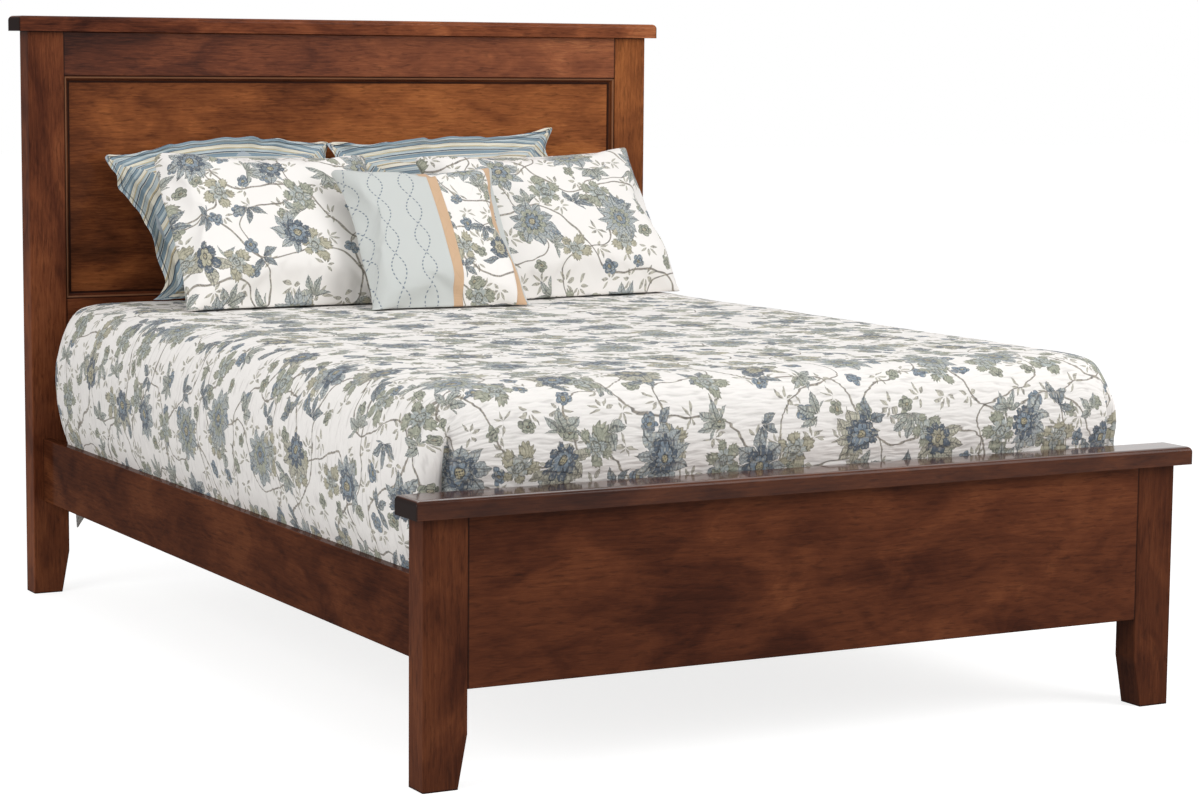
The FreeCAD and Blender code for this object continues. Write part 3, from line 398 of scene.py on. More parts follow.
def make_rosette() -> Effect:
    """A flower seen from above: two rings of round petals with hatching, and a dotted heart.

    Returns:
        The effect.
    """
    made = Effect("rosette", {"Vector": None, "Petals": 6.0, "Notch": 0.3, "Teeth": 0.02, "Lean": 0.0},
                  Fill="Float", Ink="Float", Heart="Float", Inner="Float")
    graph = made.graph
    place, count, notch, jag, lean = made.inputs
    x, y, _ = graph.split(place)
    angle = graph.math("ARCTAN2", y, x)
    radius = graph.vector("LENGTH", place) / (1.0 + graph.math("COSINE", angle) * lean)
    swing = angle * count * 0.5
    teeth = graph.math("SINE", angle * 34.0) * jag

    def petals(reach: float, phase: float) -> Signal:
        """How far a place lies inside a ring of petals, from the ring's reach and its turn."""
        lobe = abs(graph.math("COSINE", swing + phase)) ** 0.55
        return ((lobe - 1.0) * notch + 1.0 + teeth) * reach - radius

    outer, inner = petals(0.97, 0.0), petals(0.6, math.pi / 2)
    fill = graph.rise(outer, 0.0, 0.04)
    hatch_lines = graph.rise(abs(graph.math("SINE", swing * 9.0)), 0.45, 0.2)
    hatch = hatch_lines * graph.rise(graph.noise(place, 3.0), 0.35, 0.6) * 0.65
    heart = graph.rise(radius, 0.27, 0.23)
    rim = graph.rise(abs(radius - 0.25), 0.05, 0.02)
    spots = graph.rise(graph.math("SINE", x * 34.0) * graph.math("SINE", y * 34.0), 0.1, 0.5) * heart
    outlines = graph.rise(abs(outer), 0.07, 0.03), graph.rise(abs(inner), 0.06, 0.02)
    ink = graph.most(*outlines, hatch, rim, spots)
    return made.give(Fill=fill, Ink=ink * fill, Heart=heart, Inner=graph.rise(inner, 0.0, 0.04))


@dataclass(frozen=True)
class Inks:
    """The colours of the printed cotton."""

    ground: Rgb = (0.88, 0.85, 0.82)
    vine: Rgb = (0.19, 0.165, 0.13)
    outline: Rgb = (0.055, 0.06, 0.068)
    olive: Rgb = (0.12, 0.115, 0.085)
    slate: Rgb = (0.12, 0.15, 0.19)
    blue: Rgb = (0.235, 0.29, 0.345)
    pale_blue: Rgb = (0.45, 0.50, 0.51)
    sage: Rgb = (0.36, 0.375, 0.30)
    khaki: Rgb = (0.45, 0.425, 0.32)
    straw: Rgb = (0.46, 0.41, 0.27)
    mist: Rgb = (0.60, 0.64, 0.63)
    cream: Rgb = (0.68, 0.64, 0.52)


@dataclass
class VinePrint:
    """An all-over print of winding stems with leaves and blossoms, on a plane in metres."""

    scatter: Effect
    blades: Effect
    rosette: Effect
    inks: Inks = Inks()

    def build(self) -> Effect:
        """Builds the print as one effect, layer by layer.

        Returns:
            An effect that turns a place on the cloth into a colour.
        """
        made = Effect("vine_print", {"Vector": None}, Color="Color")
        self.graph = made.graph
        self.place = self.graph.swirl(made.inputs[0], 16.0, 0.03)
        self.colour = self.graph.blend(0.0, self.inks.ground, self.inks.ground)
        for layer in (self.twigs, self.stems, self.buds, self.leaf_fans, self.toothed_leaves, self.blossoms,
                      self.etched):
            layer()
        return made.give(Color=self.colour)

    def lay(self, share: Number, colour: Colour) -> None:
        """Lays a share of a colour over the print so far."""
        self.colour = self.graph.blend(share, self.colour, colour)

    def cells(self, shift: float, pitch: float, radius: float, spread: float) -> dict[str, Signal]:
        """One layer of cells, with an origin of its own so that the layers don't share their cells."""
        moved = self.graph.vector("ADD", self.place, (shift, shift * 0.61, 0.0))
        return self.graph.use(self.scatter, Vector=moved, Pitch=pitch, Radius=radius, Spread=spread)

    def draw(self, effect: Effect, cell: dict[str, Signal], **settings: Number) -> dict[str, Signal]:
        """One motif in each cell of a layer, drawn by the blades or the rosette with some settings."""
        return self.graph.use(effect, Vector=cell["Local"], **settings)

    def kept(self, cell: dict[str, Signal], share: float) -> Signal:
        """1 in about this share of a layer's cells, 0 in the others."""
        return self.graph.math("LESS_THAN", cell["Chance"], share)

    def either(self, cell: dict[str, Signal], share: float, first: Colour, second: Colour) -> Signal:
        """The first colour in about this share of a layer's cells, the second in the others."""
        return self.graph.blend(self.graph.math("GREATER_THAN", cell["Tint"], share), first, second)

    def stems(self) -> None:
        """Winding stems in two directions that run on without a break, each row with a sway of its own."""
        graph = self.graph
        for turn, pitch, wave, half in ((0.45, 0.15, 0.29, 0.0026), (-1.05, 0.185, 0.24, 0.002)):
            x, y, _ = graph.split(graph.spin(self.place, turn))
            row = graph.math("FLOOR", y / pitch)
            quick = x * (TURN / wave) + row * 2.4
            slow = x * (TURN / wave / 2.6) + row * 4.1
            sway = graph.math("SINE", quick) * (0.23 * pitch) + graph.math("SINE", slow) * (0.14 * pitch)
            slope = graph.math("COSINE", quick) * (0.23 * pitch * TURN / wave)
            off = abs((graph.math("FRACT", y / pitch) - 0.5) * pitch - sway)
            near = off / (slope * slope + 1.0) ** 0.5
            self.lay(graph.rise(near, half, half * 0.5) * 0.85, self.inks.vine)

    def etched(self) -> None:
        """Breaks up the printed fills with fine pale flecks and dark hatching, as an engraved print has."""
        graph = self.graph
        inked = graph.rise(graph.split(self.colour)[1], 0.74, 0.6)
        flecks = graph.rise(graph.noise(self.place, 210.0, 2.0, 0.6), 0.52, 0.66)
        lines = graph.rise(graph.math("PINGPONG", graph.noise(self.place, 34.0, 1.0) * 9.0, 0.5), 0.16, 0.05)
        self.lay(flecks * inked * 0.5, self.inks.cream)
        self.lay(lines * inked * 0.5, self.inks.outline)

    def twigs(self) -> None:
        """Small pale twigs that fill the ground."""
        cell = self.cells(shift=1.7, pitch=0.058, radius=0.023, spread=0.55)
        drawn = self.draw(self.blades, cell, Count=7.0, Open=2.3, Full=0.34, Root=0.2)
        shown = self.kept(cell, 0.8)
        self.lay(drawn["Fill"] * shown * 0.6, self.inks.khaki)
        self.lay(drawn["Ink"] * shown * 0.6, self.inks.olive)

    def buds(self) -> None:
        """Small round flowers."""
        cell = self.cells(shift=5.3, pitch=0.074, radius=0.0165, spread=0.6)
        drawn = self.draw(self.rosette, cell, Petals=5.0, Notch=0.35, Teeth=0.0, Lean=0.15)
        shown = self.kept(cell, 0.7)
        self.lay(drawn["Fill"] * shown, self.either(cell, 0.45, self.inks.blue, self.inks.sage))
        self.lay(drawn["Heart"] * shown, self.inks.straw)
        self.lay(drawn["Ink"] * shown * 0.9, self.inks.outline)

    def leaf_fans(self) -> None:
        """Fans of three to five slate, blue or sage leaves that spring from one stem."""
        graph = self.graph
        cell = self.cells(shift=9.2, pitch=0.1, radius=0.041, spread=0.3)
        count = graph.math("ROUND", cell["Tint"] * 3.0 + 4.6)
        drawn = self.draw(self.blades, cell, Count=count, Open=1.75, Full=0.46, Teeth=0.06, Root=0.05)
        shown = self.kept(cell, 0.78)
        dark = graph.blend(drawn["Along"], self.inks.slate, self.inks.pale_blue)
        pale = graph.blend(drawn["Along"], self.inks.sage, self.inks.mist)
        self.lay(drawn["Fill"] * shown, self.either(cell, 0.5, dark, pale))
        self.lay(drawn["Ink"] * shown * 0.8, self.inks.outline)

    def toothed_leaves(self) -> None:
        """Broad sage leaves with five lobes and a toothed edge."""
        cell = self.cells(shift=13.9, pitch=0.14, radius=0.038, spread=0.35)
        drawn = self.draw(self.rosette, cell, Petals=5.0, Notch=0.66, Teeth=0.05, Lean=0.22)
        shown = self.kept(cell, 0.85)
        leaf = self.either(cell, 0.5, self.inks.sage, self.inks.khaki)
        self.lay(drawn["Fill"] * shown, self.graph.blend(drawn["Inner"] * 0.75, leaf, self.inks.pale_blue))
        self.lay(drawn["Ink"] * shown * 0.8, self.inks.olive)

    def blossoms(self) -> None:
        """Large blossoms, some open all round and some seen from the side: petals behind a dotted rosette."""
        graph = self.graph
        cell = self.cells(shift=21.4, pitch=0.19, radius=0.056, spread=0.38)
        count = graph.math("ROUND", cell["Chance"] * 5.0 + 6.0)
        opened = graph.math("LESS_THAN", cell["Tint"], 0.5) * 2.2 + 1.7
        petals = self.draw(self.blades, cell, Count=count, Open=opened, Full=0.6, Teeth=0.05, Root=0.2)
        middle = graph.vector("SCALE", cell["Local"], 1.7)
        heart = graph.use(self.rosette, Vector=middle, Petals=count, Notch=0.35, Teeth=0.03)
        cool = graph.blend(petals["Along"], self.inks.blue, self.inks.mist)
        warm = graph.blend(petals["Along"], self.inks.sage, self.inks.cream)
        self.lay(petals["Fill"], self.either(cell, 0.7, cool, warm))
        self.lay(petals["Ink"] * 0.8, self.inks.outline)
        self.lay(heart["Fill"], self.either(cell, 0.3, self.inks.sage, self.inks.slate))
        self.lay(heart["Inner"], self.either(cell, 0.85, self.inks.blue, self.inks.khaki))
        self.lay(heart["Heart"], self.inks.straw)
        self.lay(heart["Ink"] * 0.85, self.inks.outline)


# ---------------------------------------------------------------- finishes


@dataclass
class Finish:
    """A material with one Principled BSDF. Each kind of finish paints its own graph."""

    name: str
    coordinates: ClassVar[str] = "Object"

    def build(self) -> bpy.types.Material:
        """Makes the material and paints it.

        Returns:
            The material.
        """
        material = bpy.data.materials.new(self.name)
        material.use_nodes = True
        self.nodes = material.node_tree.nodes
        self.graph = Graph(material.node_tree)
        self.shader = next(node for node in self.nodes if node.type == "BSDF_PRINCIPLED")
        self.place = self.read_place(self.coordinates)
        self.paint()
        return material

    def paint(self) -> None:
        """Feeds the shader; each kind of finish has its own way."""

    def set(self, **values: object) -> None:
        """Sets or links sockets of the shader; an underscore stands for a space in a socket's name."""
        for name, value in values.items():
            self.graph.feed(self.shader.inputs[name.replace("_", " ")], value)

    def read_place(self, source: str) -> Signal:
        """The Object coordinates, the piece's own UV map, both in metres, or the Normal."""
        return self.graph.read(source, "ShaderNodeTexCoord")


class Along(Enum):
    """The direction of a board's grain, as the turn that brings it onto X."""

    X = (0.0, 0.0, 0.0)
    Y = (0.0, 0.0, -TURN / 4)
    Z = (0.0, TURN / 4, 0.0)


@dataclass
class StainedCherry(Finish):
    """Rustic cherry under a reddish-brown stain and a satin varnish."""

    grain: Effect
    along: Along
    shift: Rgb
    tone: float = 1.0
    warmth: float = 1.0
    # How much lighter the board grows towards +X: partly the wood's own tone, partly painted sheen.
    tone_and_sheen_drift: float = 0.0
    gloss: float = 0.08
    polish: float = 0.3
    depth: float = 1.5
    cloud: float = 0.5
    fibre: float = 0.4
    rings: float = 120.0
    knots: float = 1.0
    seams: tuple[float, float] = (-9.0, 9.0)
    # A moulding's axis and edges: its grooves get painted shade and its crest a painted highlight.
    bead: tuple[str, float, float] | None = None
    shades: tuple[tuple[float, Rgb], ...] = ((0.0, (0.026, 0.0085, 0.0055)), (0.28, (0.075, 0.0215, 0.0105)),
                                             (0.55, (0.140, 0.0415, 0.0175)), (0.8, (0.215, 0.068, 0.027)),
                                             (1.0, (0.31, 0.112, 0.044)))
    # Near-black of sawn ends and joints, and also of the painted shade in moulding grooves.
    gap: Rgb = (0.012, 0.0055, 0.0045)

    def paint(self) -> None:
        """Stains the grain, darkens sawn ends and seams, paints shade into moulding grooves and a highlight
        on their crest, and varnishes the board.
        """
        graph = self.graph
        spot = graph.turned(self.place, self.along.value, self.shift)
        seen = graph.use(self.grain, Vector=spot, Rings=self.rings, Knots=self.knots)
        share = graph.rise(seen["Blotch"], 0.33, 0.66) * self.cloud + seen["Rings"] * 0.07
        share = share + seen["Fibre"] * self.fibre + 0.42 - (self.cloud + self.fibre) / 2
        # Lighter towards +X: partly the wood's own tone, partly painted sheen.
        if self.tone_and_sheen_drift:
            share = share + graph.split(self.place)[0] * self.tone_and_sheen_drift
        scale = (self.tone, self.tone * self.warmth ** 0.2, self.tone / self.warmth ** 0.5)
        stops = [(place, tuple(part * by for part, by in zip(rgb, scale))) for place, rgb in self.shades]
        colour = graph.blend(seen["Dash"] * 0.5, graph.ramp(share, stops), (0.02, 0.0075, 0.005))
        colour = graph.blend(seen["Knot"] * 0.85, colour, (0.012, 0.005, 0.004))
        colour = graph.blend(self.facing(self.along.name) * 0.85, colour, self.gap)
        reach = self.part(self.place, self.along.name)
        low, high = self.seams
        seam = graph.most(graph.rise(reach, low + 3.5 * MM, low + 1.5 * MM),
                          graph.rise(reach, high - 3.5 * MM, high - 1.5 * MM))
        colour = graph.blend(seam * 0.8, colour, self.gap)
        # Painted shade in the moulding's grooves and a painted highlight on its crest.
        if self.bead:
            colour = self.paint_moulding_shade_and_highlight(colour, *self.bead)
        grooved = seen["Fibre"] * 0.7 + seen["Dash"] * -0.3 + 0.3
        self.set(Base_Color=colour, Roughness=seen["Fibre"] * 0.14 + 0.3, Specular_IOR_Level=0.0,
                 Coat_Weight=self.facing("Z") * self.polish + self.gloss, Coat_Roughness=0.12,
                 Coat_IOR=self.depth, Normal=graph.bump(grooved, 0.09 * MM, 0.5))

    def paint_moulding_shade_and_highlight(self, colour: Signal, axis: str, outer: float, inner: float) -> Signal:
        """Paints shade into a moulding's grooves and a highlight along its crest.

        Args:
            colour: the colour so far.
            axis: the axis across the moulding.
            outer: where its outer edge is on that axis.
            inner: where its inner edge is.

        Returns:
            The colour with the painted groove shade and crest highlight.
        """
        graph = self.graph
        depth = abs(self.part(self.place, axis) - outer)
        hollow = abs(inner - outer) - 5 * MM
        # Painted shade in the grooves along both edges, and a painted highlight on the crest between them.
        painted_groove_shade = graph.most(graph.rise(depth, 2.6 * MM, 1.8 * MM),
                            graph.rise(depth, hollow - MM, hollow + MM))
        painted_crest_highlight = graph.rise(depth, 2 * MM, 3 * MM) * graph.rise(depth, 7 * MM, 5.5 * MM)
        return graph.blend(painted_groove_shade * 0.8, graph.blend(painted_crest_highlight * 0.5, colour, (0.3, 0.15, 0.08)), self.gap)

    def part(self, vector: Signal, axis: str) -> Signal:
        """One of the three parts of a vector."""
        return self.graph.split(vector)["XYZ".index(axis)]

    def facing(self, axis: str) -> Signal:
        """1 on faces square to an axis: the sawn ends, which drink the stain, or the polished tops."""
        return self.graph.rise(abs(self.part(self.read_place("Normal"), axis)), 0.7, 0.9)


@dataclass
class RawWood(Finish):
    """Planed, unfinished wood: pale and dull."""

    grain: Effect
    along: Along
    dark: Rgb = (0.42, 0.25, 0.11)
    light: Rgb = (0.66, 0.45, 0.24)

    def paint(self) -> None:
        """Shades the grain from dark to light."""
        graph = self.graph
        spot = graph.turned(self.place, self.along.value)
        seen = graph.use(self.grain, Vector=spot, Rings=160.0, Knots=0.6)
        colour = graph.blend(seen["Rings"] * 0.6 + seen["Fibre"] * 0.4, self.light, self.dark)
        colour = graph.blend(seen["Knot"] * 0.8, colour, (0.12, 0.06, 0.03))
        self.set(Base_Color=colour, Roughness=0.7, Normal=graph.bump(seen["Fibre"], 0.15 * MM, 0.6))


@dataclass
class PlatedSteel(Finish):
    """Plated steel with fine scratches and dull patches."""

    colour: Rgb
    roughness: float

    def paint(self) -> None:
        """Lays the patches over the plating, and scratches it."""
        graph = self.graph
        scratches = graph.noise(graph.vector("MULTIPLY", self.place, (60.0, 900.0, 900.0)), 1.0, 3.0)
        patches = graph.noise(self.place, 90.0, 3.0)
        shade = tuple(part * 0.7 for part in self.colour)
        self.set(Base_Color=graph.blend(patches, shade, self.colour), Metallic=1.0,
                 Roughness=patches * 0.25 + self.roughness, Normal=graph.bump(scratches, 0.03 * MM, 0.4))


@dataclass
class Cotton(Finish):
    """Cotton with a soft sheen and a weave, read on the piece's UV map in metres."""

    weave: Effect
    coordinates: ClassVar[str] = "UV"
    threads: ClassVar[float] = 1500.0
    sheen: ClassVar[float] = 0.12

    def dress(self, colour: Signal, relief: Number = 0.0, depth: float = 0.0) -> None:
        """Feeds the shader.

        Args:
            colour: the cloth's colour.
            relief: a height from 0 to 1 for quilting or seams.
            depth: the height of that relief in metres.
        """
        threads = self.graph.use(self.weave, Vector=self.place, Threads=self.threads)["Height"]
        height = threads * 0.12 * MM + relief * depth
        self.set(Base_Color=colour, Roughness=threads * 0.1 + 0.78, Sheen_Weight=self.sheen,
                 Sheen_Roughness=0.5, Specular_IOR_Level=0.2, Normal=self.graph.bump(height / MM, MM))


@dataclass
class QuiltedPrint(Cotton):
    """The coverlet's cloth: the print on cotton that is stitched across in close, puckered rows."""

    vine_print: Effect
    row: float = 9 * MM
    pucker: float = 42 * MM
    depth: float = 2.6 * MM
    scale: float = 1.08
    sheen: ClassVar[float] = 0.08

    def paint(self) -> None:
        """Puckers the rows, draws the print over them, slightly shrunk by the stitching, and paints shade
        into the rows' hollows.
        """
        graph = self.graph
        x, y, _ = graph.split(self.place)
        wavy = y + graph.noise(self.place, 16.0, 1.0) * 0.012
        rows = graph.noise(graph.join(x / self.pucker, wavy / self.row), 1.0, 1.0, 0.4)
        rows = graph.rise(rows, 0.28, 0.72)
        coarse = graph.noise(graph.join(x * 7.0, wavy * 34.0), 1.0)
        shrunk = graph.join(x / self.scale, (y + (rows - 0.5) * 0.006) / self.scale)
        colour = graph.use(self.vine_print, Vector=shrunk)["Color"]
        # Painted shade: the print darkens towards grey in the hollows between the puckered rows.
        colour = graph.blend(graph.rise(rows, 0.3, 0.0) * 0.3, colour, (0.36, 0.335, 0.32))
        self.dress(colour, rows * 0.7 + coarse * 0.5, self.depth)


@dataclass
class SmoothPrint(Cotton):
    """The print on smooth cotton, for pillows."""

    vine_print: Effect
    shift: tuple[float, float]
    scale: float = 1.12

    def paint(self) -> None:
        """Draws the print, moved so that no two pillows show the same part of it."""
        graph = self.graph
        moved = graph.vector("ADD", graph.vector("SCALE", self.place, 1 / self.scale), (*self.shift, 0.0))
        self.dress(graph.use(self.vine_print, Vector=moved)["Color"])


@dataclass
class Stripes(Cotton):
    """Woven stripes along U across a repeat of nine centimetres, with fine dashed threads between them."""

    repeat: float = 92 * MM
    cream: Rgb = (0.76, 0.72, 0.61)
    blue: Rgb = (0.235, 0.32, 0.38)
    slate: Rgb = (0.065, 0.09, 0.13)
    pale: Rgb = (0.50, 0.57, 0.59)
    tan: Rgb = (0.56, 0.47, 0.29)
    widths: str = ("5 blue 1 slate 6 pale 1 cream 4 blue 1.5 slate 7 cream 1 slate 2.5 tan 1 cream 6 pale "
                   "1 slate 3 cream 8 blue 1 cream 2 slate 5 pale 2 tan 6 cream 1 slate 3 blue 5 pale")

    def paint(self) -> None:
        """Steps through the stripes and dashes the threads between them."""
        graph = self.graph
        along, across, _ = graph.split(self.place)
        parts = self.widths.split()
        widths = [float(width) for width in parts[::2]]
        stops = [(sum(widths[:number]) / sum(widths), getattr(self, colour))
                 for number, colour in enumerate(parts[1::2])]
        colour = graph.ramp(graph.math("FRACT", across / self.repeat + 0.13), stops, stepped=True)
        dashes = graph.math("LESS_THAN", graph.math("FRACT", along / (3.2 * MM)), 0.55)
        lines = graph.rise(graph.math("PINGPONG", across / (self.repeat / 8), 0.5), 0.05, 0.03)
        self.dress(graph.blend(dashes * lines * 0.8, colour, (0.06, 0.08, 0.11)))


@dataclass
class PiecedCotton(Cotton):
    """The accent pillow's front: grey cotton with wavy stitching, two ribbed tan bands and a printed field.

    The bounds are places along the pillow's width, from its left edge.
    """

    vine_print: Effect
    half_width: float
    grey_end: float = 214 * MM
    band_end: float = 238 * MM
    field_end: float = 370 * MM
    second_end: float = 396 * MM
    wave: float = 150 * MM
    pitch: float = 74 * MM

    def paint(self) -> None:
        """Stitches the grey, ribs the tan, prints the field, and sinks the seams between them."""
        graph = self.graph
        x, y, _ = graph.split(self.place)
        left = x + self.half_width
        sway = graph.math("SINE", y * (TURN / self.wave)) * 0.017
        waves = [graph.math("FRACT", (left + sway * sign) / self.pitch + 0.35) - 0.5 for sign in (1.0, -1.0)]
        stitches = graph.most(*(graph.rise(abs(across) * self.pitch, 1.9 * MM, 1.1 * MM) for across in waves))
        dash = graph.math("LESS_THAN", graph.math("FRACT", y / (9.0 * MM)), 0.5)
        grey = graph.blend(graph.noise(self.place, 30.0) * 0.4, (0.565, 0.59, 0.575), (0.60, 0.61, 0.585))
        grey = graph.blend(stitches * dash * 0.9, grey, (0.13, 0.17, 0.23))
        rib = graph.math("SINE", y * (TURN / (2.6 * MM))) * 0.5 + 0.5
        tan = graph.blend(rib * 0.5, (0.66, 0.45, 0.29), (0.52, 0.34, 0.21))
        printed = graph.use(self.vine_print, Vector=graph.vector("ADD", self.place, (1.9, 0.7, 0.0)))["Color"]
        colour, seams = grey, []
        for bound, cloth in ((self.grey_end, tan), (self.band_end, printed), (self.field_end, tan),
                             (self.second_end, grey)):
            colour = graph.blend(graph.math("GREATER_THAN", left, bound), colour, cloth)
            seams.append(graph.rise(abs(left - bound), 2.0 * MM, 0.3 * MM))
        past_grey = graph.math("GREATER_THAN", left, self.grey_end)
        banded = past_grey * graph.math("LESS_THAN", left, self.band_end)
        self.dress(colour, 1.0 - graph.most(*seams) + rib * banded * 0.35 - stitches * 0.5, 0.8 * MM)


@dataclass
class PlainCotton(Cotton):
    """One plain colour of cotton, slightly uneven."""

    colour: Rgb

    def paint(self) -> None:
        """Lets the colour fade a little here and there."""
        faded = tuple(part * 0.88 for part in self.colour)
        self.dress(self.graph.blend(self.graph.noise(self.place, 24.0, 3.0), self.colour, faded))


@dataclass
class Ticking(Cotton):
    """Damask ticking for mattress and box spring, with narrow stripes up its sides, on Object coordinates."""

    coordinates: ClassVar[str] = "Object"

    def paint(self) -> None:
        """Draws the stripes and raises the damask."""
        graph = self.graph
        x, y, _ = graph.split(self.place)
        stripe = graph.math("LESS_THAN", graph.math("FRACT", (x + y) / (24 * MM)), 0.12)
        colour = graph.blend(stripe * 0.6, (0.74, 0.72, 0.66), (0.42, 0.47, 0.52))
        damask = graph.rise(graph.noise(graph.swirl(self.place, 14.0, 0.05), 40.0, 1.0), 0.45, 0.55)
        self.dress(colour, damask, 0.5 * MM)


# ---------------------------------------------------------------- helpers for meshes


def finish_piece(name: str, bm: Mesh, material: bpy.types.Material, smooth: bool = True) -> bpy.types.Object:
    """Turns a bmesh into an object of the scene.

    Args:
        name: the piece's name.
        bm: its mesh, in place; it is freed.
        material: its finish.
        smooth: whether its faces are shaded smooth.

    Returns:
        The new object, at the origin.
    """
    mesh = bpy.data.meshes.new(name)
    bm.to_mesh(mesh)
    bm.free()
    mesh.materials.append(material)
    if smooth:
        mesh.shade_smooth()
    piece = bpy.data.objects.new(name, mesh)
    bpy.context.scene.collection.objects.link(piece)
    log.info("%s: %d faces", name, len(mesh.polygons))
    return piece


def made_of(kind: type, made: dict[str, list]) -> list:
    """Only the vertices, edges or faces from what a bmesh operator made."""
    return [item for item in made["geom"] if isinstance(item, kind)]


def smooth_step(low: float, high: float, value: float) -> float:
    """A number that eases from 0 at low to 1 at high."""
    share = min(max((value - low) / (high - low), 0.0), 1.0)
    return share * share * (3 - 2 * share)


def along_line(points: Line, value: float) -> float:
    """Reads a broken line.

    Args:
        points: its (place, height) points, in order of place.
        value: where to read it.

    Returns:
        The height there; beyond its ends the line stays level.
    """
    if value <= points[0][0]:
        return points[0][1]
    for (low, first), (high, second) in zip(points, points[1:]):
        if value <= high:
            return first + (second - first) * (value - low) / (high - low)
    return points[-1][1]


# ---------------------------------------------------------------- coverlet


@dataclass(frozen=True)
class WallPoint:
    """A place on the wall line, with the way out from the bed there.

    The turn goes from 0 on a side to a quarter turn on an end, round a corner of some radius.
    """

    at: Vector
    out: Vector
    turn: float
    radius: float


@dataclass
class Coverlet:
    """The quilted coverlet: tucked in behind the rails, swollen above them, with a soft shoulder."""

    cloth: bpy.types.Material
    cell: float = 11.1 * MM
    foot_corner: float = 0.145
    head_corner: float = 0.11
    shoulder: float = 0.12
    shoulder_power: float = 2.2
    border: float = 0.02
    thick: float = 3.5 * MM
    rail_gap: float = 0.6 * MM
    end_room: float = 8.3 * MM
    hem_up: float = 0.118
    softening: int = 10
    soft_from: float = 0.56
    # The tip hangs at the head, beyond this slant of the wall, from where it starts to its full drop.
    tip_slant: float = 0.73
    tip_start: float = 0.617
    tip_run: float = 0.118
    tip_low: float = 0.152
    right_share: float = 0.45
    allowance: float = 0.02
    arc_out: float = 0.02
    # The cloth turns from straight down to flat over this length of the fall.
    held_over: tuple[float, float] = (0.02, 0.13)
    # Heights between which the tuck, the drags and the pleat set in.
    tuck: tuple[float, float] = (0.372, 0.41)
    drags: tuple[float, float] = (0.65, 0.45)
    pleats: tuple[float, float] = (0.68, 0.58)
    # The pleat's reach along the wall, its middle and width there, and how it slants about a height.
    pleat: Rgb = (0.017, -0.012, 0.014)
    pleat_height: float = 0.6
    pleat_slant: float = 0.9
    # The folds beside the pleat: how far each stands out, its middle and its width along the wall.
    folds: tuple[Rgb, ...] = ((11 * MM, -0.02, 0.017), (-15 * MM, 0.012, 0.012), (6 * MM, 0.045, 0.016))
    # How the side falls: (height, distance out from the rail's inner face), up to the shoulder.
    fall: Line = ((0.272, 0.0), (0.367, 0.0), (0.385, 0.006), (0.41, 0.0145), (0.46, 0.0245), (0.52, 0.0285),
                  (0.56, 0.0265), (0.604, 0.0175), (0.64, 0.004), (0.677, -0.02))
    # The same at the foot, where the cap stands close until 0.517.
    foot_fall: Line = ((0.272, 0.0), (0.50, 0.0), (0.52, 0.002), (0.545, 0.011), (0.575, 0.014),
                       (0.604, 0.012), (0.64, 0.002), (0.677, -0.02))
    head_fall: Line = ((0.272, 0.0), (0.367, 0.0), (0.46, 0.009), (0.56, 0.011), (0.604, 0.008), (0.64, 0.0),
                       (0.677, -0.02))

    def __post_init__(self) -> None:
        """Reads the room that the coverlet has from the frame."""
        low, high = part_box("coverlet")
        rail_low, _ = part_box("side_rail_right")
        mattress_low, mattress_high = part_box("mattress")
        self.top = high[2]
        self.wall_x = rail_low[0] - self.rail_gap
        self.foot = mattress_low[1] - self.end_room
        self.head = mattress_high[1] + self.end_room
        self.hem = low[2] + self.hem_up
        self.wall_top = self.fall[-1][0]
        self.middle_y = (self.foot + self.head) / 2
        self.half_length = (self.head - self.foot) / 2

    def build(self) -> bpy.types.Object:
        """Builds the sheet: a top from a grid, walls from its extruded border, folds, and a thickness.

        Returns:
            The finished piece.
        """
        bm = bmesh.new()
        self.make_top(bm)
        self.hang_walls(bm)
        shoulder = [vertex for vertex in bm.verts if self.soft_from < vertex.co.z < self.top - 0.2 * MM]
        for _ in range(self.softening):
            bmesh.ops.smooth_vert(bm, verts=shoulder, factor=0.5, use_axis_x=True, use_axis_y=True,
                                  use_axis_z=True)
        self.wrinkle(bm)
        bmesh.ops.solidify(bm, geom=bm.faces[:], thickness=self.thick)
        bmesh.ops.recalc_face_normals(bm, faces=bm.faces[:])
        piece = finish_piece("quilted_coverlet", bm, self.cloth)
        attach(piece, "bed")
        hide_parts("coverlet")
        return piece

    def over(self, x: float, y: float) -> tuple[float, float, float]:
        """How far a place lies past the middle of its corner's arc, in X and in Y, and the arc's radius."""
        radius = self.foot_corner if y < self.middle_y else self.head_corner
        return abs(x) - (self.wall_x - radius), abs(y - self.middle_y) - (self.half_length - radius), radius

    def inside(self, x: float, y: float) -> float:
        """How far a place lies outside the wall line; negative inside it."""
        over_x, over_y, radius = self.over(x, y)
        return math.hypot(max(over_x, 0.0), max(over_y, 0.0)) + min(max(over_x, over_y), 0.0) - radius

    def shoulder_height(self, out: float) -> float:
        """Height of the top and its shoulder at a distance out from the wall line."""
        share = max(out + self.shoulder, 0.0) / (self.shoulder - self.border)
        return self.top - (self.top - self.wall_top) * share ** self.shoulder_power

    def unrolled(self, out: float) -> float:
        """How much further the cloth of the shoulder reaches when it is laid flat.

        Args:
            out: the distance out from the wall line, up to where to measure.

        Returns:
            The length that the slope adds.
        """
        steps = 12
        start, end = -self.shoulder, min(out, -self.border)
        if end <= start:
            return 0.0
        heights = [self.shoulder_height(start + (end - start) * step / steps) for step in range(steps + 1)]
        length = sum(math.hypot(end - start, (b - a) * steps) / steps for a, b in zip(heights, heights[1:]))
        return length - (end - start)

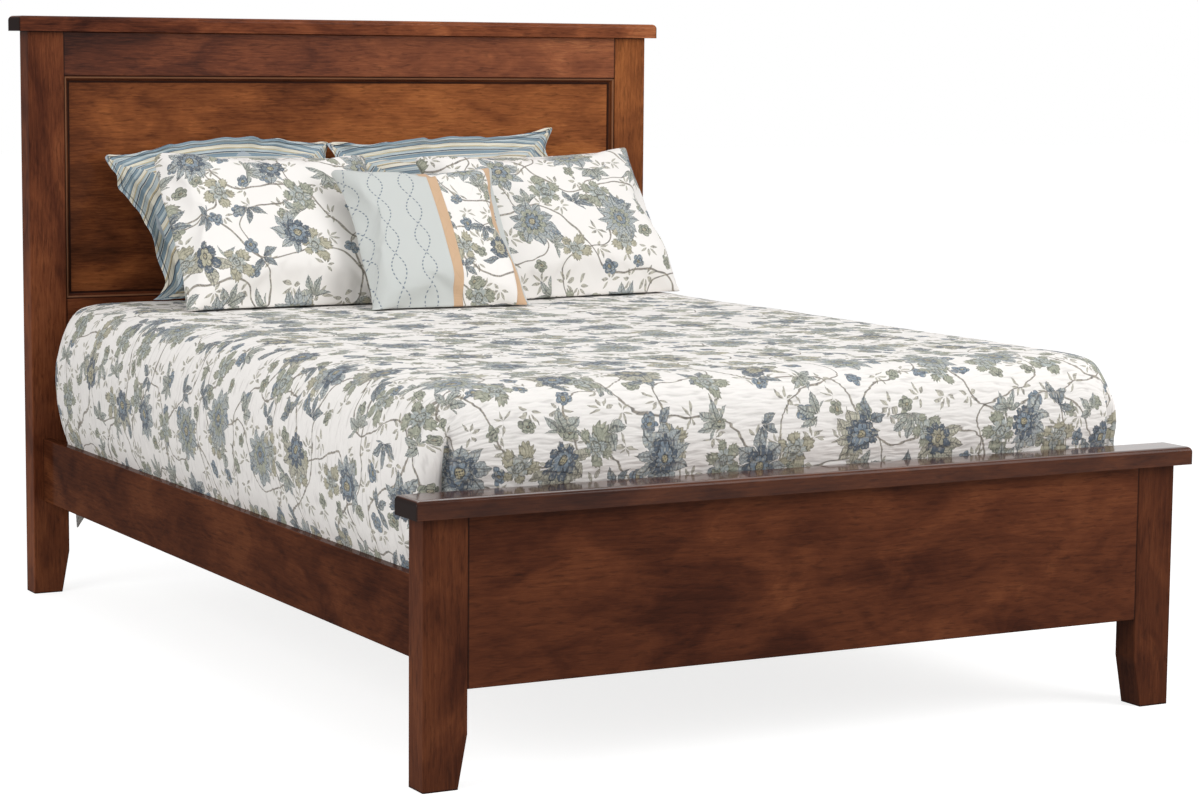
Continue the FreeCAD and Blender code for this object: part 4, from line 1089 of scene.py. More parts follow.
    def outward(self, x: float, y: float) -> WallPoint:
        """Finds the wall beside a place of the top.

        Args:
            x: the place's X.
            y: its Y.

        Returns:
            What the wall is like there, and its place if this one lies on the top's border.
        """
        over_x, over_y, radius = self.over(x, y)
        if over_x > 0 and over_y > 0:
            turn = math.atan2(over_y, over_x)
        else:
            turn = 0.0 if over_x > over_y else TURN / 4
        out = Vector((math.copysign(math.cos(turn), x), math.copysign(math.sin(turn), y - self.middle_y)))
        return WallPoint(Vector((x, y)) + out * self.border, out, turn, radius)

    def make_top(self, bm: Mesh) -> None:
        """Makes the top as a grid whose corner blocks are bent to round corners.

        Args:
            bm: the empty mesh to make it in.
        """
        half_x = self.wall_x - self.border
        half_y = self.half_length - self.border
        columns, rows = round(2 * half_x / self.cell), round(2 * half_y / self.cell)
        bmesh.ops.create_grid(bm, x_segments=columns, y_segments=rows, size=1.0, calc_uvs=True)
        for vertex in bm.verts:
            x, y = vertex.co.x * half_x, vertex.co.y * half_y
            radius = (self.foot_corner if y < 0 else self.head_corner) - self.border
            over_x, over_y = abs(x) - (half_x - radius), abs(y) - (half_y - radius)
            if over_x > 0 and over_y > 0:
                share_x, share_y = over_x / radius, over_y / radius
                round_x = share_x * math.sqrt(1 - share_y ** 2 / 2) * radius
                round_y = share_y * math.sqrt(1 - share_x ** 2 / 2) * radius
                x = math.copysign(half_x - radius + round_x, x)
                y = math.copysign(half_y - radius + round_y, y)
            y += self.middle_y
            vertex.co = (x, y, self.shoulder_height(self.inside(x, y)))
        print_map = bm.loops.layers.uv.verify()
        for face in bm.faces:
            for loop in face.loops:
                spot = loop.vert.co
                flat = self.outward(spot.x, spot.y).out * self.unrolled(self.inside(spot.x, spot.y))
                loop[print_map].uv = spot.xy + flat

    def fall_at(self, point: WallPoint, z: float) -> float:
        """How far the wall swells out, between what it does at the side and at the end.

        Args:
            point: the place on the wall line.
            z: the height.

        Returns:
            The distance out from the wall line.
        """
        end = along_line(self.foot_fall if point.at.y < self.middle_y else self.head_fall, z)
        share = math.sin(point.turn) ** 2
        side = along_line(self.fall, z)
        if point.at.x > 0 and side > 0:
            side *= self.right_share
        return side * (1 - share) + end * share

    def hem_at(self, point: WallPoint) -> float:
        """Height of the hem: level, but for the two corners that hang down at the head."""
        share = 0.0 if point.out.y < self.tip_slant else (abs(point.at.x) - self.tip_start) / self.tip_run
        return self.hem - (self.hem - self.tip_low) * min(max(share, 0.0), 1.0)

    def hang_walls(self, bm: Mesh) -> None:
        """Extrudes the border down to the hem, ring by ring, and gives each ring its place on the print.

        Args:
            bm: the mesh with the top.
        """
        print_map = bm.loops.layers.uv.verify()
        ring = [edge for edge in bm.edges if edge.is_boundary]
        about = {vertex.index: self.outward(vertex.co.x, vertex.co.y)
                 for edge in ring for vertex in edge.verts}
        tag = bm.verts.layers.int.new("column")
        for vertex in bm.verts:
            vertex[tag] = vertex.index
        steps = round((self.wall_top - self.hem) / self.cell)
        for step in range(1, steps + 1):
            made = bmesh.ops.extrude_edge_only(bm, edges=ring)
            ring = [edge for edge in made_of(bmesh.types.BMEdge, made) if edge.is_boundary]
            for vertex in {vertex for edge in ring for vertex in edge.verts}:
                point = about[vertex[tag]]
                z = self.wall_top + (self.hem_at(point) - self.wall_top) * step / steps
                flat = point.at + point.out * self.fall_at(point, z)
                vertex.co = (flat.x, flat.y, z)
            for face in made_of(bmesh.types.BMFace, made):
                turns = [about[vertex[tag]].turn for vertex in face.verts]
                on_side = sum(turns) / len(turns) < TURN / 8
                for loop in face.loops:
                    loop[print_map].uv = self.print_place(loop.vert.co.z, about[loop.vert[tag]], on_side)

    def print_place(self, z: float, point: WallPoint, on_side: bool) -> Vector:
        """Finds a point of the wall on the flat cloth, which folds down along its side or its end.

        Args:
            z: the height of the point.
            point: the place on the wall line above it.
            on_side: whether the cloth there belongs to a side.

        Returns:
            The place on the cloth.
        """
        wall, out, turn = point.at, point.out, point.turn
        fallen = self.wall_top - z + self.unrolled(-self.border)
        mean = point.radius + self.arc_out
        if on_side:
            along = wall.y - out.y * point.radius + math.copysign(turn * mean, out.y) if turn > 0 else wall.y
            flat = Vector((math.copysign(self.wall_x - self.border + fallen, wall.x), along))
        else:
            middle = wall.x - out.x * point.radius
            along = middle + math.copysign((TURN / 4 - turn) * mean, out.x) if turn < TURN / 4 else wall.x
            end = math.copysign(self.half_length - self.border + fallen, wall.y - self.middle_y)
            flat = Vector((along, self.middle_y + end))
        held = smooth_step(*self.held_over, fallen)
        straight_down = wall - out * self.border + out * fallen
        return straight_down * (1 - held) + flat * held

    def wrinkle(self, bm: Mesh) -> None:
        """Moves the sheet in and out: slow waves everywhere, drags on the sides, and the pleats at the foot.

        Args:
            bm: the mesh of the sheet.
        """
        bm.normal_update()
        moves = []
        for vertex in bm.verts:
            at = vertex.co
            fold, lap = self.fold(at)
            wall = smooth_step(self.top - 0.01, self.top - 0.12, at.z)
            waves = noise.noise(Vector((at.x * 5, at.y * 5, at.z * 5))) * 0.6
            waves += noise.noise(Vector((at.x * 15, at.y * 11, at.z * 7))) * 0.4
            slant = noise.noise(Vector((at.y * 9 + at.z * 16, at.z * 2.5, 4.0)))
            drag = 3.0 * MM * max(slant, 0.0) * smooth_step(*self.drags, at.z)
            tucked = smooth_step(*self.tuck, at.z)
            top_move = -2.2 * MM * (0.6 + waves)
            wall_move = 3.5 * MM * waves + (drag + fold)
            moves.append(vertex.normal * ((1 - wall) * top_move + wall * tucked * wall_move) + lap)
        for vertex, move in zip(bm.verts, moves):
            vertex.co += move

    def fold(self, at: Vector) -> tuple[float, Vector]:
        """Lays the slanting pleat at a foot corner.

        Args:
            at: a point of the sheet.

        Returns:
            How far the point moves out, and how it is carried along the wall, over the fold beside it.
        """
        over_x = abs(at.x) - (self.wall_x - self.foot_corner)
        over_y = self.foot + self.foot_corner - at.y
        if over_x <= 0 or over_y <= 0:
            return 0.0, Vector((0.0, 0.0, 0.0))
        turn = math.atan2(over_y, over_x)
        past = (turn - (TURN / 8 + (at.z - self.pleat_height) * self.pleat_slant)) * self.foot_corner
        depth = smooth_step(*self.pleats, at.z)
        move = sum(height * math.exp(-((past - place) / width) ** 2) for height, place, width in self.folds)
        reach, middle, breadth = self.pleat
        carried = reach * math.exp(-((past - middle) / breadth) ** 2) * depth
        return depth * move, Vector((-math.copysign(math.sin(turn), at.x), -math.cos(turn), 0.0)) * carried


# ---------------------------------------------------------------- pillows


@dataclass
class Pillow:
    """A stuffed cover in its own plane: X is its width, Y its height, and its front looks along Z."""

    node: str
    slot: str
    width: float
    height: float
    thick: float
    lean: float
    turn: float
    roll: float
    front: bpy.types.Material
    back: bpy.types.Material
    leans_on: Sequence[bpy.types.Object]
    flange: float = 0.0
    mitre: float = 0.12
    slant: float = 48
    fill: float = 0.7
    pinch: Line = ((0.0, 0.0),)
    arch: float = 0.0
    narrow: tuple[float, float] = (0.0, 0.0)
    ear: float = 0.0
    rounding: float = 0.011
    shift: float = 0.0
    sag: float = 0.024
    sink: float = 6 * MM
    squash: float = 12 * MM
    floor_gap: float = 0.8 * MM
    seed: float = 1.0
    cell: float = 8 * MM
    layer: float = 3 * MM
    draw: float = 0.03
    gap: float = 2.0 * MM
    wall_steps: int = 5
    filling_frames: int = 20
    filling_reach: float = 0.03
    first_fill: float = 0.62
    squareness: float = 2.3
    plumpness: float = 0.52
    # How far the creases, the ears and the rounding spread from a corner, squared, in half sizes.
    creases_spread: float = 0.16
    ear_spread: float = 0.012
    rounding_spread: float = 0.0022

    def __post_init__(self) -> None:
        """Works out half the size inside the flange."""
        self.half_w, self.half_h = self.width / 2 - self.flange, self.height / 2 - self.flange

    def build(self) -> bpy.types.Object:
        """Makes the cover, fills it, sets it on the bed and presses it clear of what it leans on.

        Returns:
            The finished piece.
        """
        bm = bmesh.new()
        self.make_cover(bm)
        self.inflate(bm)
        self.true_up(bm)
        if self.flange:
            self.add_flange(bm)
        self.crease(bm)
        self.set_down(bm)
        self.press_clear(bm)
        bmesh.ops.recalc_face_normals(bm, faces=bm.faces[:])
        piece = finish_piece(self.node + "_cover", bm, self.front)
        piece.data.materials.append(self.back)
        smooth = piece.modifiers.new("smooth", "SUBSURF")
        smooth.levels = smooth.render_levels = 1
        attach(piece, "bed")
        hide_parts(self.node)
        return piece

    def crown(self, u: float, v: float) -> float:
        """Share of the full thickness at a place of the cover, from 0 at its seam to 1 in the middle."""
        power = self.squareness
        return (max(1 - abs(u) ** power, 0.0) * max(1 - abs(v) ** power, 0.0)) ** self.plumpness

    def make_cover(self, bm: Mesh) -> None:
        """Makes two layers of cloth joined along a seam, lightly filled, with the flat cloth as the UV map.

        Args:
            bm: the empty mesh to make them in.
        """
        columns, rows = round(2 * self.half_w / self.cell), round(2 * self.half_h / self.cell)
        flat_x = bm.verts.layers.float.new("flat_x")
        flat_y = bm.verts.layers.float.new("flat_y")
        side = bm.verts.layers.int.new("side")
        print_map = bm.loops.layers.uv.new("cloth")
        bmesh.ops.create_grid(bm, x_segments=columns, y_segments=rows, size=1.0)
        made = bmesh.ops.extrude_face_region(bm, geom=bm.faces[:], use_keep_orig=True)
        backs = set(made_of(bmesh.types.BMVert, made))
        amount = self.first_fill
        for vertex in bm.verts:
            u, v = vertex.co.x, vertex.co.y
            vertex[side] = -1 if vertex in backs else 1
            vertex[flat_x], vertex[flat_y] = u * self.half_w, v * self.half_h
            drawn_x = 1 - self.draw * (1 - v * v) * 0.5
            drawn_y = 1 - self.draw * (1 - u * u) * 0.7
            rise = self.layer / 2 + (self.thick / 2 - self.layer / 2) * self.crown(u, v) * amount
            vertex.co = (u * self.half_w * drawn_x, v * self.half_h * drawn_y, vertex[side] * rise)
        for face in bm.faces:
            face.material_index = 0 if any(vertex[side] > 0 for vertex in face.verts) else 1
            for loop in face.loops:
                loop[print_map].uv = (loop.vert[flat_x], loop.vert[flat_y])
        bmesh.ops.recalc_face_normals(bm, faces=bm.faces[:])

    def inflate(self, bm: Mesh) -> None:
        """Fills the cover by cloth under pressure, and keeps each point within reach of where it began.

        Args:
            bm: the mesh of the cover.
        """
        mesh = bpy.data.meshes.new("filling")
        bm.to_mesh(mesh)
        body = bpy.data.objects.new("filling", mesh)
        scene = bpy.context.scene
        scene.collection.objects.link(body)
        cloth = body.modifiers.new("cloth", "CLOTH")
        for name, value in {"quality": 5, "mass": 0.25, "tension_stiffness": 22, "compression_stiffness": 22,
                            "shear_stiffness": 8, "bending_stiffness": 0.25, "use_pressure": True,
                            "uniform_pressure_force": 4.0}.items():
            setattr(cloth.settings, name, value)
        cloth.settings.effector_weights.gravity = 0
        cloth.collision_settings.use_collision = False
        cloth.collision_settings.use_self_collision = False
        cloth.point_cache.frame_end = self.filling_frames
        for frame_number in range(1, self.filling_frames + 1):
            scene.frame_set(frame_number)
        filled = body.evaluated_get(bpy.context.evaluated_depsgraph_get()).to_mesh()
        bm.verts.ensure_lookup_table()
        for vertex, target in zip(bm.verts, filled.vertices):
            step = target.co - vertex.co
            vertex.co += step * min(1.0, self.filling_reach / max(step.length, 1e-9))
        scene.frame_set(1)
        bpy.data.objects.remove(body)

    def true_up(self, bm: Mesh) -> None:
        """Brings the filled cover back to its width, height and thickness.

        Args:
            bm: the mesh of the cover.
        """
        sizes = (self.width - 2 * self.flange, self.height - 2 * self.flange, self.thick)
        for axis, wanted in enumerate(sizes):
            places = [vertex.co[axis] for vertex in bm.verts]
            low, high = min(places), max(places)
            for vertex in bm.verts:
                vertex.co[axis] = (vertex.co[axis] - (low + high) / 2) * wanted / (high - low)

    def add_flange(self, bm: Mesh) -> None:
        """Extrudes the seam outwards into a flat border that waves a little, mitred at its corners.

        Args:
            bm: the mesh of the cover.
        """
        side = bm.verts.layers.int["side"]
        flat_x, flat_y = bm.verts.layers.float["flat_x"], bm.verts.layers.float["flat_y"]
        seam = [face for face in bm.faces if {vertex[side] for vertex in face.verts} == {1, -1}]
        for vertex in {vertex for face in seam for vertex in face.verts}:
            vertex.co.z = vertex[side] * self.layer / 2
        border = []
        for step in range(1, self.wall_steps + 1):
            before = set(bm.faces) - set(seam)
            made = bmesh.ops.extrude_face_region(bm, geom=seam)
            seam = made_of(bmesh.types.BMFace, made)
            border += [face for face in bm.faces if face not in before]
            reach = self.flange / self.wall_steps
            for vertex in made_of(bmesh.types.BMVert, made):
                share_x, share_y = vertex[flat_x] / self.half_w, vertex[flat_y] / self.half_h
                vertex.co.x += share_x * reach
                vertex.co.y += share_y * reach
                spot = Vector((vertex[flat_x] * 21 + self.seed * 5, vertex[flat_y] * 23, share_x * 3))
                vertex.co.z += noise.noise(spot) * 2.2 * MM * step
        self.map_flange(bm, {face for face in border if face.is_valid})

    def map_flange(self, bm: Mesh, border: set[bmesh.types.BMFace]) -> None:
        """Gives the cover its place on the cloth: down the sides it is cut on the slant and mitred.

        Args:
            bm: the mesh of the cover.
            border: the faces of the flange.
        """
        side = bm.verts.layers.int["side"]
        print_map = bm.loops.layers.uv["cloth"]
        for face in bm.faces:
            centre = face.calc_center_median()
            if face in border:
                bound = centre.x < -self.half_w - self.flange * 0.78
                face.material_index = 1 if bound or all(vertex[side] < 0 for vertex in face.verts) else 0
            from_side = self.half_w + self.flange - abs(centre.x)
            on_side = from_side < self.half_h + self.flange - abs(centre.y) and from_side < self.mitre
            slant = math.radians(self.slant) * -math.copysign(1.0, centre.x) if on_side else 0.0
            for loop in face.loops:
                x, y = loop.vert.co.x, loop.vert.co.y
                loop[print_map].uv = (x * math.cos(slant) + y * math.sin(slant),
                                      y * math.cos(slant) - x * math.sin(slant))

    def crease(self, bm: Mesh) -> None:
        """Adds slow dents, creases towards the corners, and what sets the pillow's own outline.

        Args:
            bm: the mesh of the cover.
        """
        bm.normal_update()
        half_w, half_h = self.width / 2, self.height / 2
        for vertex in bm.verts:
            u, v = vertex.co.x / half_w, vertex.co.y / half_h
            corner = (1 - abs(u)) ** 2 + (1 - abs(v)) ** 2
            dents = noise.noise(Vector((u * 2.1 + self.seed, v * 1.7, vertex.co.z * 9))) * 4.0
            angle = math.atan2((1 - abs(v)) * half_h, (1 - abs(u)) * half_w)
            folds = math.sin(angle * 9 + self.seed * 3) * math.exp(-corner / self.creases_spread) * 3.0
            inner = self.crown(min(abs(vertex.co.x) / self.half_w, 1.0),
                               min(abs(vertex.co.y) / self.half_h, 1.0))
            vertex.co += vertex.normal * (dents + folds) * MM * min(inner * 2.5, 1.0)
            if u < 0:
                vertex.co.x += along_line(self.pinch, v) * smooth_step(0.0, -1.0, u)
            vertex.co.y -= self.arch * smooth_step(-0.2, 1.0, v) * u * u
            vertex.co.x *= 1 - self.narrow[u > 0] * (v + 1) / 2
            tip = self.ear * math.exp(-((1 - abs(u)) ** 2 + (1 - v) ** 2) / self.ear_spread)
            vertex.co += Vector((math.copysign(tip, u), tip * 0.8, 0.0))
            point = self.rounding * math.exp(-corner / self.rounding_spread)
            vertex.co -= Vector((math.copysign(point, u), math.copysign(point, v), 0.0))

    def set_down(self, bm: Mesh) -> None:
        """Rolls, leans and turns the pillow, and sets it where its CAD solid is.

        Args:
            bm: the mesh of the cover.
        """
        place = Matrix()
        for angle, axis in ((self.turn, "Z"), (90 - self.lean, "X"), (self.roll, "Z")):
            place @= Matrix.Rotation(math.radians(angle), 4, axis)
        bmesh.ops.transform(bm, matrix=place, verts=bm.verts[:])
        low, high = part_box(self.node)
        depths = [vertex.co.y for vertex in bm.verts]
        middle = (min(depths) + max(depths)) / 2
        drop = min(vertex.co.z for vertex in bm.verts)
        step = Vector(((low[0] + high[0]) / 2 + self.shift, (low[1] + high[1]) / 2 - middle,
                       low[2] - drop - self.sink))
        bmesh.ops.translate(bm, vec=step, verts=bm.verts[:])
        floor = low[2] + self.floor_gap
        flat_y = bm.verts.layers.float["flat_y"]
        for vertex in bm.verts:
            vertex.co.z -= self.sag * smooth_step(-0.5, -1.0, vertex[flat_y] / self.half_h)
            over = vertex.co.z - floor - self.squash
            if over < 0:
                vertex.co.z = floor + self.squash * math.exp(over / self.squash)

    def press_clear(self, bm: Mesh) -> None:
        """Moves each point that reaches into what the pillow leans on forwards, until it is clear.

        Args:
            bm: the mesh of the cover.
        """
        graph = bpy.context.evaluated_depsgraph_get()
        trees = [BVHTree.FromObject(piece, graph) for piece in self.leans_on]
        side = bm.verts.layers.int["side"]
        for vertex in bm.verts:
            start = Vector((vertex.co.x, -3.0, vertex.co.z))
            clear = self.gap + (self.layer if vertex[side] > 0 else 0.0)
            for tree in trees:
                hit = tree.ray_cast(start, Vector((0, 1, 0)))[0]
                if hit is not None and vertex.co.y > hit.y - clear:
                    vertex.co.y = hit.y - clear


# ---------------------------------------------------------------- mattress and box spring


@dataclass
class Upholstered:
    """A rounded block with a cord of piping round its two edges: the mattress or the box spring."""

    node: str
    ticking: bpy.types.Material
    round: float
    corner: float
    piping: float = 4 * MM
    crown: float = 2.5 * MM
    corner_steps: int = 8
    round_steps: int = 6
    outline_steps: int = 10
    cord_steps: int = 3

    def build(self) -> None:
        """Makes the block and its piping."""
        low, high = (Vector(corner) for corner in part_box(self.node))
        block = bmesh.new()
        bmesh.ops.create_cube(block, size=1.0)
        inset = Vector((self.crown, self.crown, self.crown))
        bmesh.ops.scale(block, vec=high - low - inset * 2, verts=block.verts[:])
        bmesh.ops.translate(block, vec=(low + high) / 2, verts=block.verts[:])
        upright = [edge for edge in block.edges if self.rises(edge)]
        self.bevel(block, upright, self.corner, self.corner_steps)
        level = [edge for edge in block.edges if not self.rises(edge)]
        self.bevel(block, level, self.round, self.round_steps)
        pieces = [finish_piece(self.node + "_block", block, self.ticking)]
        for name, z in (("upper", high.z - self.round - self.piping), ("lower", low.z + self.round)):
            ring = self.piping_ring(low, high, z)
            pieces.append(finish_piece(f"{self.node}_{name}_piping", ring, self.ticking))
        for piece in pieces:
            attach(piece, "bed")
            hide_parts(self.node)

    @staticmethod
    def rises(edge: bmesh.types.BMEdge) -> bool:
        """Whether an edge goes up, not level."""
        return abs(edge.verts[0].co.z - edge.verts[1].co.z) > 1 * MM

    @staticmethod
    def bevel(bm: Mesh, geom: list, offset: float, segments: int, affect: str = "EDGES") -> None:
        """Rounds edges or corners by a distance, in some segments."""
        bmesh.ops.bevel(bm, geom=geom, offset=offset, segments=segments, profile=0.5, affect=affect,
                        material=-1)

    def piping_ring(self, low: Vector, high: Vector, z: float) -> Mesh:
        """Makes a round cord that follows the block's outline at one height.

        Args:
            low: the block's lowest corner.
            high: its highest corner.
            z: the height.

        Returns:
            The cord's mesh.
        """
        ring = bmesh.new()
        bmesh.ops.create_grid(ring, x_segments=1, y_segments=1, size=0.5)
        inset = self.crown + self.piping * 0.2
        size = (high.x - low.x - 2 * inset, high.y - low.y - 2 * inset, 1)
        bmesh.ops.scale(ring, vec=size, verts=ring.verts[:])
        bmesh.ops.translate(ring, vec=((low.x + high.x) / 2, (low.y + high.y) / 2, z), verts=ring.verts[:])
        self.bevel(ring, ring.verts[:], self.corner, self.outline_steps, affect="VERTICES")
        bmesh.ops.inset_region(ring, faces=ring.faces[:], use_boundary=True, thickness=self.piping)
        inner = [face for face in ring.faces if len(face.verts) > 4]
        bmesh.ops.delete(ring, geom=inner, context="FACES")
        bmesh.ops.solidify(ring, geom=ring.faces[:], thickness=self.piping)
        edges = [edge for edge in ring.edges if abs(edge.calc_face_angle(0.0)) > 1.0]
        self.bevel(ring, edges, self.piping * 0.3, self.cord_steps)
        bmesh.ops.recalc_face_normals(ring, faces=ring.faces[:])
        return ring


# ---------------------------------------------------------------- woodwork and hardware


@dataclass
class Woodwork:
    """Finishes for the wooden and steel parts that keep their CAD shape."""

    grain: Effect
    seed: int = 11
    tones: dict[str, dict[str, float]] = field(default_factory=lambda: {
        "headboard_panel": {"tone": 1.74, "warmth": 1.4, "tone_and_sheen_drift": 0.18, "knots": 0.5, "fibre": 0.62},
        "headboard_right_post": {"tone": 1.75, "warmth": 1.45, "fibre": 0.7},
        "headboard_left_post": {"tone": 1.06, "knots": 0.5, "fibre": 0.6},
        "headboard_top_rail": {"tone": 1.38, "tone_and_sheen_drift": 0.36, "gloss": 0.25, "fibre": 0.7},
        "headboard_cap": {"tone": 1.42, "tone_and_sheen_drift": 0.32, "fibre": 0.7},
        "footboard_panel": {"tone": 0.86, "tone_and_sheen_drift": 0.03},
        "footboard_left_post": {"tone": 0.8},
        "footboard_right_post": {"tone": 0.74},
        "footboard_cap": {"tone": 0.62, "polish": 0.92, "depth": 2.2},
        "side_rail_left": {"tone": 0.64, "gloss": 0.04},
        "panel_moulding_left": {"tone": 0.8, "warmth": 1.2},
        "panel_moulding_right": {"tone": 1.2, "warmth": 1.3},
        "panel_moulding_top": {"tone": 0.8},
        "panel_moulding_bottom": {"tone": 1.1}})
    boards: dict[Along, str] = field(default_factory=lambda: {
        Along.X: ("headboard_cap footboard_cap headboard_top_rail headboard_low_rail headboard_panel "
                  "footboard_panel panel_moulding_top panel_moulding_bottom"),
        Along.Y: "side_rail_left side_rail_right",
        Along.Z: ("headboard_left_post headboard_right_post footboard_left_post footboard_right_post "
                  "panel_moulding_left panel_moulding_right")})

    def build(self) -> None:
        """Gives every CAD node that stays in sight its finish."""
        noise.seed_set(self.seed)
        for along, nodes in self.boards.items():
            for number, node in enumerate(nodes.split()):
                self.dress(node, self.board(node, along, number))
        beech = RawWood("beech_dowels", self.grain, Along.Z, (0.52, 0.34, 0.19), (0.66, 0.47, 0.29))
        plates = " ".join(f"{kind}_plate_{end}_{side}" for kind in ("hook", "slot")
                          for end in ("head", "foot") for side in ("left", "right"))
        for finish, nodes in (
                (RawWood("pine_slats", self.grain, Along.X), " ".join(f"slat_{n}" for n in range(1, 7))),
                (RawWood("pine_cleats", self.grain, Along.Y), "cleat_left cleat_right"),
                (RawWood("pine_legs", self.grain, Along.Z), "middle_leg_1 middle_leg_2"),
                (beech, "headboard_cap_dowels footboard_cap_dowels"),
                (PlatedSteel("zinc_plating", (0.62, 0.63, 0.65), 0.28),
                 "hook_plate_screws slot_plate_screws cleat_screws slat_screws leg_screws tee_nut_1 "
                 "tee_nut_2"),
                (PlatedSteel("plate_zinc", (0.5, 0.51, 0.53), 0.34), plates),
                (PlatedSteel("glide_nickel", (0.6, 0.58, 0.55), 0.22), "glide_1 glide_2")):
            material = finish.build()
            for node in nodes.split():
                self.dress(node, material)

    def board(self, node: str, along: Along, number: int) -> bpy.types.Material:
        """Makes a stained finish whose pith lies behind the middle of one board.

        Args:
            node: the board's CAD node.
            along: the direction of its grain.
            number: its number among the boards of that direction.

        Returns:
            The material.
        """
        low, high = (Vector(corner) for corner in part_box(node))
        x, y, z = (low + high) / 2
        run, side, up = {Along.X: (x, y, z), Along.Y: (y, -x, z), Along.Z: (z, y, -x)}[along]
        away = noise.random_unit_vector()
        shift = (-run + 3.7 * number + away.x, -side + 0.02 * number, -up)
        axis = "XYZ".index(along.name)
        seams = (low[axis], high[axis])
        if along is Along.X and not node.endswith("_cap") and "moulding" not in node:
            end = node.split("_")[0]
            seams = (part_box(f"{end}_left_post")[1][0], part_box(f"{end}_right_post")[0][0])
        bead = {"panel_moulding_top": ("Z", high.z, low.z), "panel_moulding_bottom": ("Z", low.z, high.z),
                "panel_moulding_left": ("X", low.x, high.x),
                "panel_moulding_right": ("X", high.x, low.x)}.get(node)
        return StainedCherry(f"cherry_{node}", self.grain, along, shift, seams=seams, bead=bead,
                             **self.tones.get(node, {})).build()

    @staticmethod
    def dress(node: str, material: bpy.types.Material) -> None:
        """Puts one finish in every slot of a CAD node.

        Args:
            node: the node's name.
            material: the finish.
        """
        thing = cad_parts[node]
        for slot in thing.material_slots:
            slot.material = material
        if not thing.material_slots:
            thing.data.materials.append(material)


# ---------------------------------------------------------------- studio


@dataclass
class StudioFloor(Finish):
    """A floor that shows white and keeps the bed's shadow."""

    def paint(self) -> None:
        """Adds a glow to the floor for the rays that see the background."""
        self.set(Base_Color=(0.42, 0.42, 0.42, 1.0), Roughness=0.9, Specular_IOR_Level=0.0)
        glow = self.graph.node("ShaderNodeEmission", {"Strength": 0.79})
        both = self.graph.node("ShaderNodeAddShader")
        mixed = self.graph.node("ShaderNodeMixShader", {0: background_rays(self.graph)})
        out = next(node for node in self.nodes if node.type == "OUTPUT_MATERIAL")
        for source, target, number in ((self.shader, both, 0), (glow, both, 1), (self.shader, mixed, 1),
                                       (both, mixed, 2), (mixed, out, 0)):
            self.graph.tree.links.new(source.outputs[0], target.inputs[number])


def background_rays(graph: Graph) -> Signal:
    """1 for rays from the camera and for those seen in gloss or through glass, else 0."""
    rays, kinds = graph.node("ShaderNodeLightPath").outputs, ("Camera", "Glossy", "Transmission")
    return graph.most(*(Signal(graph, rays[f"Is {kind} Ray"]) for kind in kinds))


@dataclass
class Studio:
    """White seamless floor, soft lights and the camera."""

    camera_place: Rgb = (-2.967, -5.6515, 1.272)
    yaw: float = 28.65
    pitch: float = 6.61
    roll: float = 0.50
    lens: float = 89.36
    sensor: float = 36.0
    floor_half: float = 30.0

    def build(self) -> None:
        """Builds the floor, the world, the lamps and the camera."""
        self.make_floor()
        self.light_world()
        self.add_lamp("key", (3.4, -4.4, 3.2), (0.0, 0.0, 0.5), 3.2, 185.0)
        self.add_lamp("fill", (-5.2, -1.4, 2.6), (0.0, 0.0, 0.4), 3.0, 125.0)
        self.add_lamp("top", (0.3, 0.0, 4.6), (0.0, 0.0, 0.0), 3.0, 36.0)
        self.add_camera()

    def make_floor(self) -> None:
        """Lays the floor."""
        bm = bmesh.new()
        bmesh.ops.create_grid(bm, x_segments=1, y_segments=1, size=self.floor_half)
        finish_piece("studio_floor", bm, StudioFloor("studio_floor").build(), smooth=False)

    def light_world(self) -> None:
        """Makes an even white world that shows at full white but lights the bed more softly."""
        world = bpy.data.worlds.new("studio_world")
        bpy.context.scene.world = world
        world.use_nodes = True
        graph = Graph(world.node_tree)
        shade = next(node for node in world.node_tree.nodes if node.type == "BACKGROUND")
        graph.feed(shade.inputs["Color"], (1.0, 1.0, 1.0, 1.0))
        graph.feed(shade.inputs["Strength"], background_rays(graph) * 0.46 + 0.54)

    @staticmethod
    def add_lamp(name: str, place: Rgb, aim: Rgb, size: float, watts: float) -> None:
        """Adds a square area lamp.

        Args:
            name: the lamp's name.
            place: where it hangs.
            aim: the point it looks at.
            size: the length of its sides in metres.
            watts: its power.
        """
        data = bpy.data.lights.new(name, "AREA")
        data.size, data.energy = size, watts
        lamp = bpy.data.objects.new(name, data)
        lamp.location = place
        lamp.rotation_mode = "QUATERNION"
        lamp.rotation_quaternion = (Vector(aim) - Vector(place)).to_track_quat("-Z", "Y")
        bpy.context.scene.collection.objects.link(lamp)

    def add_camera(self) -> None:
        """Sets up the camera of the photograph."""
        yaw, pitch, roll = (math.radians(angle) for angle in (self.yaw, self.pitch, self.roll))
        ahead = Vector((math.sin(yaw) * math.cos(pitch), math.cos(yaw) * math.cos(pitch), -math.sin(pitch)))
        level = Vector((math.cos(yaw), -math.sin(yaw), 0.0))
        over = level.cross(ahead)
        right = level * math.cos(roll) + over * math.sin(roll)
        up = over * math.cos(roll) - level * math.sin(roll)
        data = bpy.data.cameras.new("camera")
        data.lens, data.sensor_width = self.lens, self.sensor
        camera = bpy.data.objects.new("camera", data)
        matrix = Matrix((right, up, -ahead)).transposed().to_4x4()
        matrix.translation = self.camera_place
        camera.matrix_world = matrix
        bpy.context.scene.collection.objects.link(camera)
        bpy.context.scene.camera = camera
        bpy.context.scene.view_settings.view_transform = "Standard"


# ---------------------------------------------------------------- the whole bed


